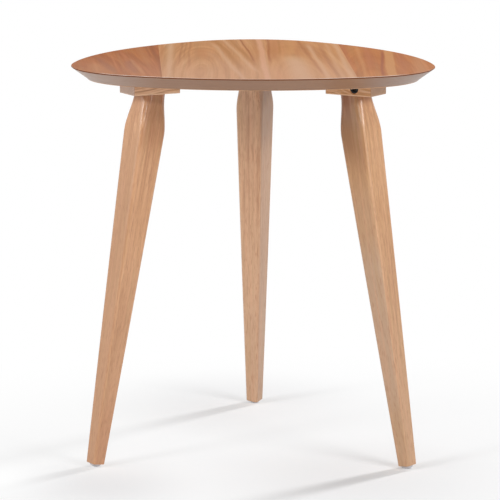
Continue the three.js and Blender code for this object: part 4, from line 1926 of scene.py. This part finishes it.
def leaf_figures() -> tuple[LeafFigure, ...]:
    """Colours and figure of the four leaves, from the left."""
    wine = srgb(148, 84, 44)
    haze = srgb(152, 96, 72)
    amber = srgb(192, 128, 78)
    cream = srgb(218, 174, 136)
    olive = srgb(178, 118, 60)
    umber = srgb(166, 98, 50)
    gold = srgb(206, 146, 92)
    rose = srgb(224, 168, 132)
    plum = srgb(156, 86, 52)
    tan = srgb(198, 142, 100)
    russet = srgb(176, 104, 62)
    return (
        LeafFigure(
            "veneer_russet", srgb(158, 85, 43), srgb(178, 106, 56), srgb(196, 126, 72),
            heart=-0.25, heart_front=-0.4, lean=7.0, cut_slope=0.12, ring_width=0.011, seed=3.0,
            painted_sheen_share=0.2,
            streaks=(
                Streak(-0.149, 0.011, amber, 0.6, 7.5, back=0.2, front=0.0),
                Streak(-0.134, 0.007, wine, 0.75, 5.7, front=0.0),
                Streak(-0.141, 0.004, wine, 0.6, 6.5, front=0.04, fade=0.05),
                Streak(-0.1305, 0.005, wine, 0.7, 3.5, back=0.02, fade=0.05),
                Streak(-0.163, 0.007, wine, 0.45, 12.0, back=0.05, front=-0.06, fade=0.06),
                Streak(-0.213, 0.011, haze, 0.55, 10.0, back=-0.02, front=-0.12),
                Streak(-0.176, 0.011, haze, 0.6, 7.6, back=-0.05, front=-0.14, fade=0.05),
                Streak(-0.171, 0.005, tan, 0.55, 9.5, back=-0.03, front=-0.14, fade=0.05),
                Streak(-0.222, 0.02, tan, 0.45, 6.0, back=-0.08, fade=0.05),
            ),
        ),
        LeafFigure(
            "veneer_honey", srgb(180, 122, 74), srgb(203, 145, 95), srgb(220, 168, 122),
            heart=-0.072, heart_front=-0.15, lean=1.2, cut_slope=0.114, ring_width=0.008,
            seed=11.0, ring_contrast=0.29,
            streaks=(
                Streak(-0.1285, 0.004, amber, 0.7, 2.0, front=-0.03),
                Streak(-0.1165, 0.0075, cream, 0.65, 2.5),
                Streak(-0.1025, 0.003, umber, 0.45, 1.2, front=-0.02),
                Streak(-0.0965, 0.0025, umber, 0.35, 1.0, front=0.05),
                Streak(-0.0895, 0.003, umber, 0.4, 1.2, front=-0.05),
                Streak(-0.074, 0.015, amber, 0.7, 1.5, back=0.11, front=0.06, fade=0.05),
                Streak(-0.049, 0.008, tan, 0.6, 10.0, back=0.04, front=-0.06),
                Streak(-0.0375, 0.006, cream, 0.6, 7.0, back=0.15),
                Streak(-0.028, 0.0075, olive, 0.75, 7.5, front=-0.07),
                Streak(-0.0135, 0.005, cream, 0.55, 8.0, front=-0.1),
                Streak(-0.0055, 0.006, olive, 0.75, 7.5, front=-0.02),
                Streak(0.004, 0.007, amber, 0.55, 1.5, front=0.0),
                Streak(-0.001, 0.003, umber, 0.95, 4.8, front=0.0, fade=0.04),
                Streak(0.0125, 0.0068, rose, 0.78, 1.9, core=0.2),
            ),
        ),
        LeafFigure(
            "veneer_pale", srgb(182, 120, 70), srgb(202, 141, 88), srgb(217, 163, 112),
            heart=0.058, heart_front=-0.3, lean=2.5, cut_slope=0.11, ring_width=0.012, seed=23.0,
            streaks=(
                Streak(0.03, 0.013, amber, 0.8, 1.0, front=0.04),
                Streak(0.04, 0.004, olive, 0.5, 1.5, front=0.1),
                Streak(0.056, 0.012, gold, 0.7, 1.5, front=0.11, fade=0.06),
                Streak(0.063, 0.006, amber, 0.7, 1.5, back=0.12, front=0.0, fade=0.04),
                Streak(0.056, 0.024, cream, 0.75, 3.0, back=-0.02, fade=0.1),
                Streak(0.081, 0.005, umber, 0.55, 4.5, front=-0.13),
                Streak(0.0885, 0.006, cream, 0.6, 3.5, back=0.15),
                Streak(0.103, 0.0045, umber, 0.5, 3.2, back=0.14, front=-0.15),
                Streak(0.111, 0.005, cream, 0.35, 2.5),
                Streak(0.124, 0.007, cream, 0.6, 2.2),
                Streak(0.0225, 0.0035, umber, 0.8, 1.2, front=0.02),
            ),
        ),
        LeafFigure(
            "veneer_tan", srgb(165, 94, 46), srgb(187, 115, 60), srgb(204, 135, 77),
            heart=0.16, heart_front=-0.5, lean=0.8, cut_slope=0.08, ring_width=0.009, seed=37.0,
            painted_sheen_share=0.12,
            streaks=(
                Streak(0.1315, 0.008, russet, 0.65, 1.5, front=0.0),
                Streak(0.148, 0.0055, gold, 0.55, 0.8),
                Streak(0.161, 0.011, russet, 0.6, 0.5, front=-0.05),
                Streak(0.179, 0.004, plum, 0.9, -1.8, back=0.08, front=-0.16, fade=0.05),
                Streak(0.1885, 0.0075, gold, 0.9, -1.2, core=0.6),
                Streak(0.2035, 0.01, russet, 0.6, -1.2),
                Streak(0.228, 0.016, tan, 0.5, -1.0, back=0.0),
            ),
        ),
    )


def leg_timber(corner: Corner) -> Timber:
    """The wood of one leg, each cut from another part of a plank, with painted shade under the block
    and below the top, painted light on one face, and other tones on single faces and towards the
    foot.
    """
    # Painted shade: a dark band round the leg just under its block
    neck = WoodOrPaintedLightPatch(srgb(146, 86, 42), 0.5, lower=-0.008, length_fade=0.007)
    picks = {
        Corner.REAR: ((0.06, -0.05), 5.0, srgb(204, 161, 126), srgb(199, 161, 131), (
            # Right face: greyer and darker along its flat
            WoodOrPaintedLightPatch(srgb(173, 141, 118), 0.6, 241.0, facing=0.93),
            # Painted shade on the right face just below the top
            WoodOrPaintedLightPatch(srgb(146, 114, 94), 0.45, 241.0, upper=-0.015, lower=-0.07),
        )),
        Corner.LEFT: ((-0.07, 0.055), 12.0, srgb(198, 147, 105), srgb(202, 152, 117), (
            # Outer face: darker and more olive below 10 cm
            WoodOrPaintedLightPatch(srgb(186, 137, 98), 0.55, 10.5, upper=-0.1),
            # Painted shade on the inner face under the top
            WoodOrPaintedLightPatch(srgb(178, 122, 80), 0.55, 100.5, lower=-0.055, length_fade=0.03),
            # Painted light: a lighter band lower down the inner face
            WoodOrPaintedLightPatch(srgb(222, 170, 128), 0.3, 100.5, upper=-0.12, lower=-0.22),
            # Painted shade on the inner face near the foot
            WoodOrPaintedLightPatch(srgb(188, 132, 94), 0.4, 100.5, upper=-0.46),
        )),
        Corner.RIGHT: ((0.05, 0.08), 29.0, srgb(201, 150, 106), srgb(200, 160, 128), (
            # Painted shade: dark inner face under the top
            WoodOrPaintedLightPatch(srgb(128, 64, 10), 0.85, -100.5, lower=-0.065, length_fade=0.05),
            # An olive strip beside the ridge, over the top of that painted shade
            WoodOrPaintedLightPatch(srgb(182, 142, 98), 0.5, -100.5, start=0.005, lower=-0.04),
            # Painted shade on the inner face further down
            WoodOrPaintedLightPatch(srgb(170, 128, 82), 0.5, -100.5, upper=-0.05, lower=-0.11),
            # Inner face greyer and paler lower down
            WoodOrPaintedLightPatch(srgb(178, 142, 108), 0.6, -100.5, upper=-0.16),
            WoodOrPaintedLightPatch(srgb(188, 158, 134), 0.5, -100.5, upper=-0.24, lower=-0.4),
        )),
    }
    pith, seed, middle, foot, patches = picks[corner]
    lower_end = WoodOrPaintedLightPatch(foot, 0.7, upper=-0.5, length_fade=0.4)
    return Timber(
        f"leg_wood_{corner.label}", srgb(158, 104, 68), middle, srgb(222, 176, 136),
        pith=pith, seed=seed, patches=(lower_end, *patches, neck),
    )


def block_timber(corner: Corner) -> Timber:
    """The wood of one block, with a painted highlight along its lower edge."""
    picks = {
        Corner.REAR: (41.0, srgb(214, 164, 124), srgb(190, 152, 124)),
        Corner.LEFT: (53.0, srgb(232, 182, 140), srgb(184, 155, 138)),
        Corner.RIGHT: (67.0, srgb(208, 148, 88), srgb(169, 126, 90)),
    }
    seed, middle, end_grain = picks[corner]
    # Painted highlight: a pale line along the block's lower edge
    painted_edge_highlight = WoodOrPaintedLightPatch(
        srgb(248, 208, 170), 0.7, -90.0, facing=-2.0, start=-0.0012, fade=0.0005
    )
    return Timber(
        f"block_wood_{corner.label}", srgb(178, 122, 80), middle, srgb(244, 202, 162),
        pith=(0.03, 0.04), ring_width=0.0024, band_strength=0.38, slope=0.12, wander=0.012,
        seed=seed, end_colour=end_grain, end_share=0.75, end_at=0.0345, patches=(painted_edge_highlight,),
    )


def build_top(top: TableTop) -> None:
    """Builds the top in its veneers, its edge lacquer and its backing."""
    # The glint and sheen colours are painted light: a pale glint on the eased edge and a sheen
    # towards the front of the face
    veneer = FaceVeneer(
        top.outline.axis_y, top.height, top.height - top.glint_share * top.veneer,
        edge_colour=srgb(112, 62, 34), glint_colour=srgb(255, 238, 226),
        painted_sheen_colour=srgb(228, 184, 162), warm=srgb(218, 148, 100), cool=srgb(176, 128, 80),
    )
    edge = EdgeLacquer(
        srgb(148, 102, 64), srgb(116, 66, 36), top.lip_bottom,
        (
            # Painted grey sheen on the left and the right of the edge
            EdgeSheenPatch(-0.19, 0.04, 0.14, srgb(160, 127, 106)),
            EdgeSheenPatch(0.23, 0.03, 0.11, srgb(144, 110, 88)),
        ),
    )
    backing = Timber(
        "backing_veneer", srgb(150, 108, 76), srgb(176, 134, 100), srgb(192, 150, 114),
        ring_width=0.012, band_strength=0.22, seed=71.0,
    )
    leaves = [veneer.material(figure) for figure in leaf_figures()]
    along_y = Matrix.Rotation(QUARTER_TURN, 4, "X")
    top.build(leaves, edge.material(), backing.material(along_y))


def build_corners(axis_y: float) -> None:
    """Builds block, leg, connector and glide at each corner, and dresses what stays a solid."""
    joinery = Joinery()
    glide = Glide()
    block = MountingBlock(joinery)
    tip_along = glide.tip_along(Stance(Corner.REAR, axis_y))
    leg = Leg(joinery, tip_along - glide.height - FIT_GAP, glide.nail_radius)
    connector = Connector(joinery, block.width)

    black_steel = Steel(
        "black_steel", srgb(26, 26, 28), srgb(58, 56, 54), 0.5,
        Shine((0.32, 0.5), 0.08, 0.00005, ease=Ease.SMOOTH),
    ).material()
    bright_steel = Steel(
        "bright_steel", srgb(196, 197, 199), srgb(160, 160, 158), 1.0,
        Shine((0.24, 0.42), 0.08, 0.00005, ease=Ease.SMOOTH),
    ).material()
    glide_plastic = Plastic(srgb(198, 194, 196), srgb(140, 134, 130)).material()
    dowel_wood = Timber(
        "dowel_wood", srgb(196, 160, 112), srgb(220, 190, 146), srgb(232, 206, 166), seed=83.0
    ).material(Matrix.Identity(4))
    along_x = Matrix.Rotation(-QUARTER_TURN, 4, "Y")
    for corner in Corner:
        stance = Stance(corner, axis_y)
        into_block = along_x @ stance.block_frame.inverted()
        block.build(stance, block_timber(corner).material(into_block))
        leg.build(stance, leg_timber(corner).material(stance.leg_frame.inverted()))
        connector.build(stance, black_steel)
        glide.build(stance, glide_plastic)
        dress_node(stance.named("leg_dowel"), dowel_wood)
        screw = stance.named("block_screw")
        screws = [f"{screw}_{index + 1}" for index in range(len(joinery.screw_sides))]
        for node in (stance.named("leg_stud"), stance.named("glide_nail"), *screws):
            dress_node(node, bright_steel)


def studio() -> Studio:
    """The studio with its lamps and the pools of shade under the table."""
    lamps = (
        SoftLamp("left_side", 192, 15, 4.0, 2.0, 35.0),
        SoftLamp("left_front", 215, 26, 4.0, 0.9, 38.0),
        SoftLamp("right_front", 318, 25, 4.0, 0.9, 59.0, breadth=1.6),
        SoftLamp("left_low", 225, 5, 4.0, 1.0, 6.0),
        SoftLamp("right_low", 308, 5, 4.0, 1.0, 15.0),
        SoftLamp("right_rear", 42, 38, 3.0, 0.3, 44.0),
        SoftLamp("left_front_spot", 218, 40, 3.0, 0.4, 9.0),
        SoftLamp("right_front_spot", 320, 40, 3.0, 0.4, 3.0),
        SoftLamp("front", 270, 24, 4.0, 0.3, 15.0, breadth=2.5),
    )
    pools = (
        ShadePool((-0.2, -0.24, 0.0), 0.16, 0.6),
        ShadePool((0.14, -0.2, 0.0), 0.26, 0.6),
        ShadePool((-0.03, 0.22, 0.0), 0.26, 0.45),
        ShadePool((-0.33, -0.22, 0.0), 0.12, -0.25),
    )
    return Studio(lamps, pools)


def main() -> None:
    """Builds the table piece by piece, then the studio and the camera."""
    top = TableTop(TopOutline())
    build_top(top)
    build_corners(top.outline.axis_y)
    studio().build()
    PhotoCamera().build()


if __name__ == "__main__":
    logging.basicConfig(level=logging.INFO, format="%(message)s")
    main()
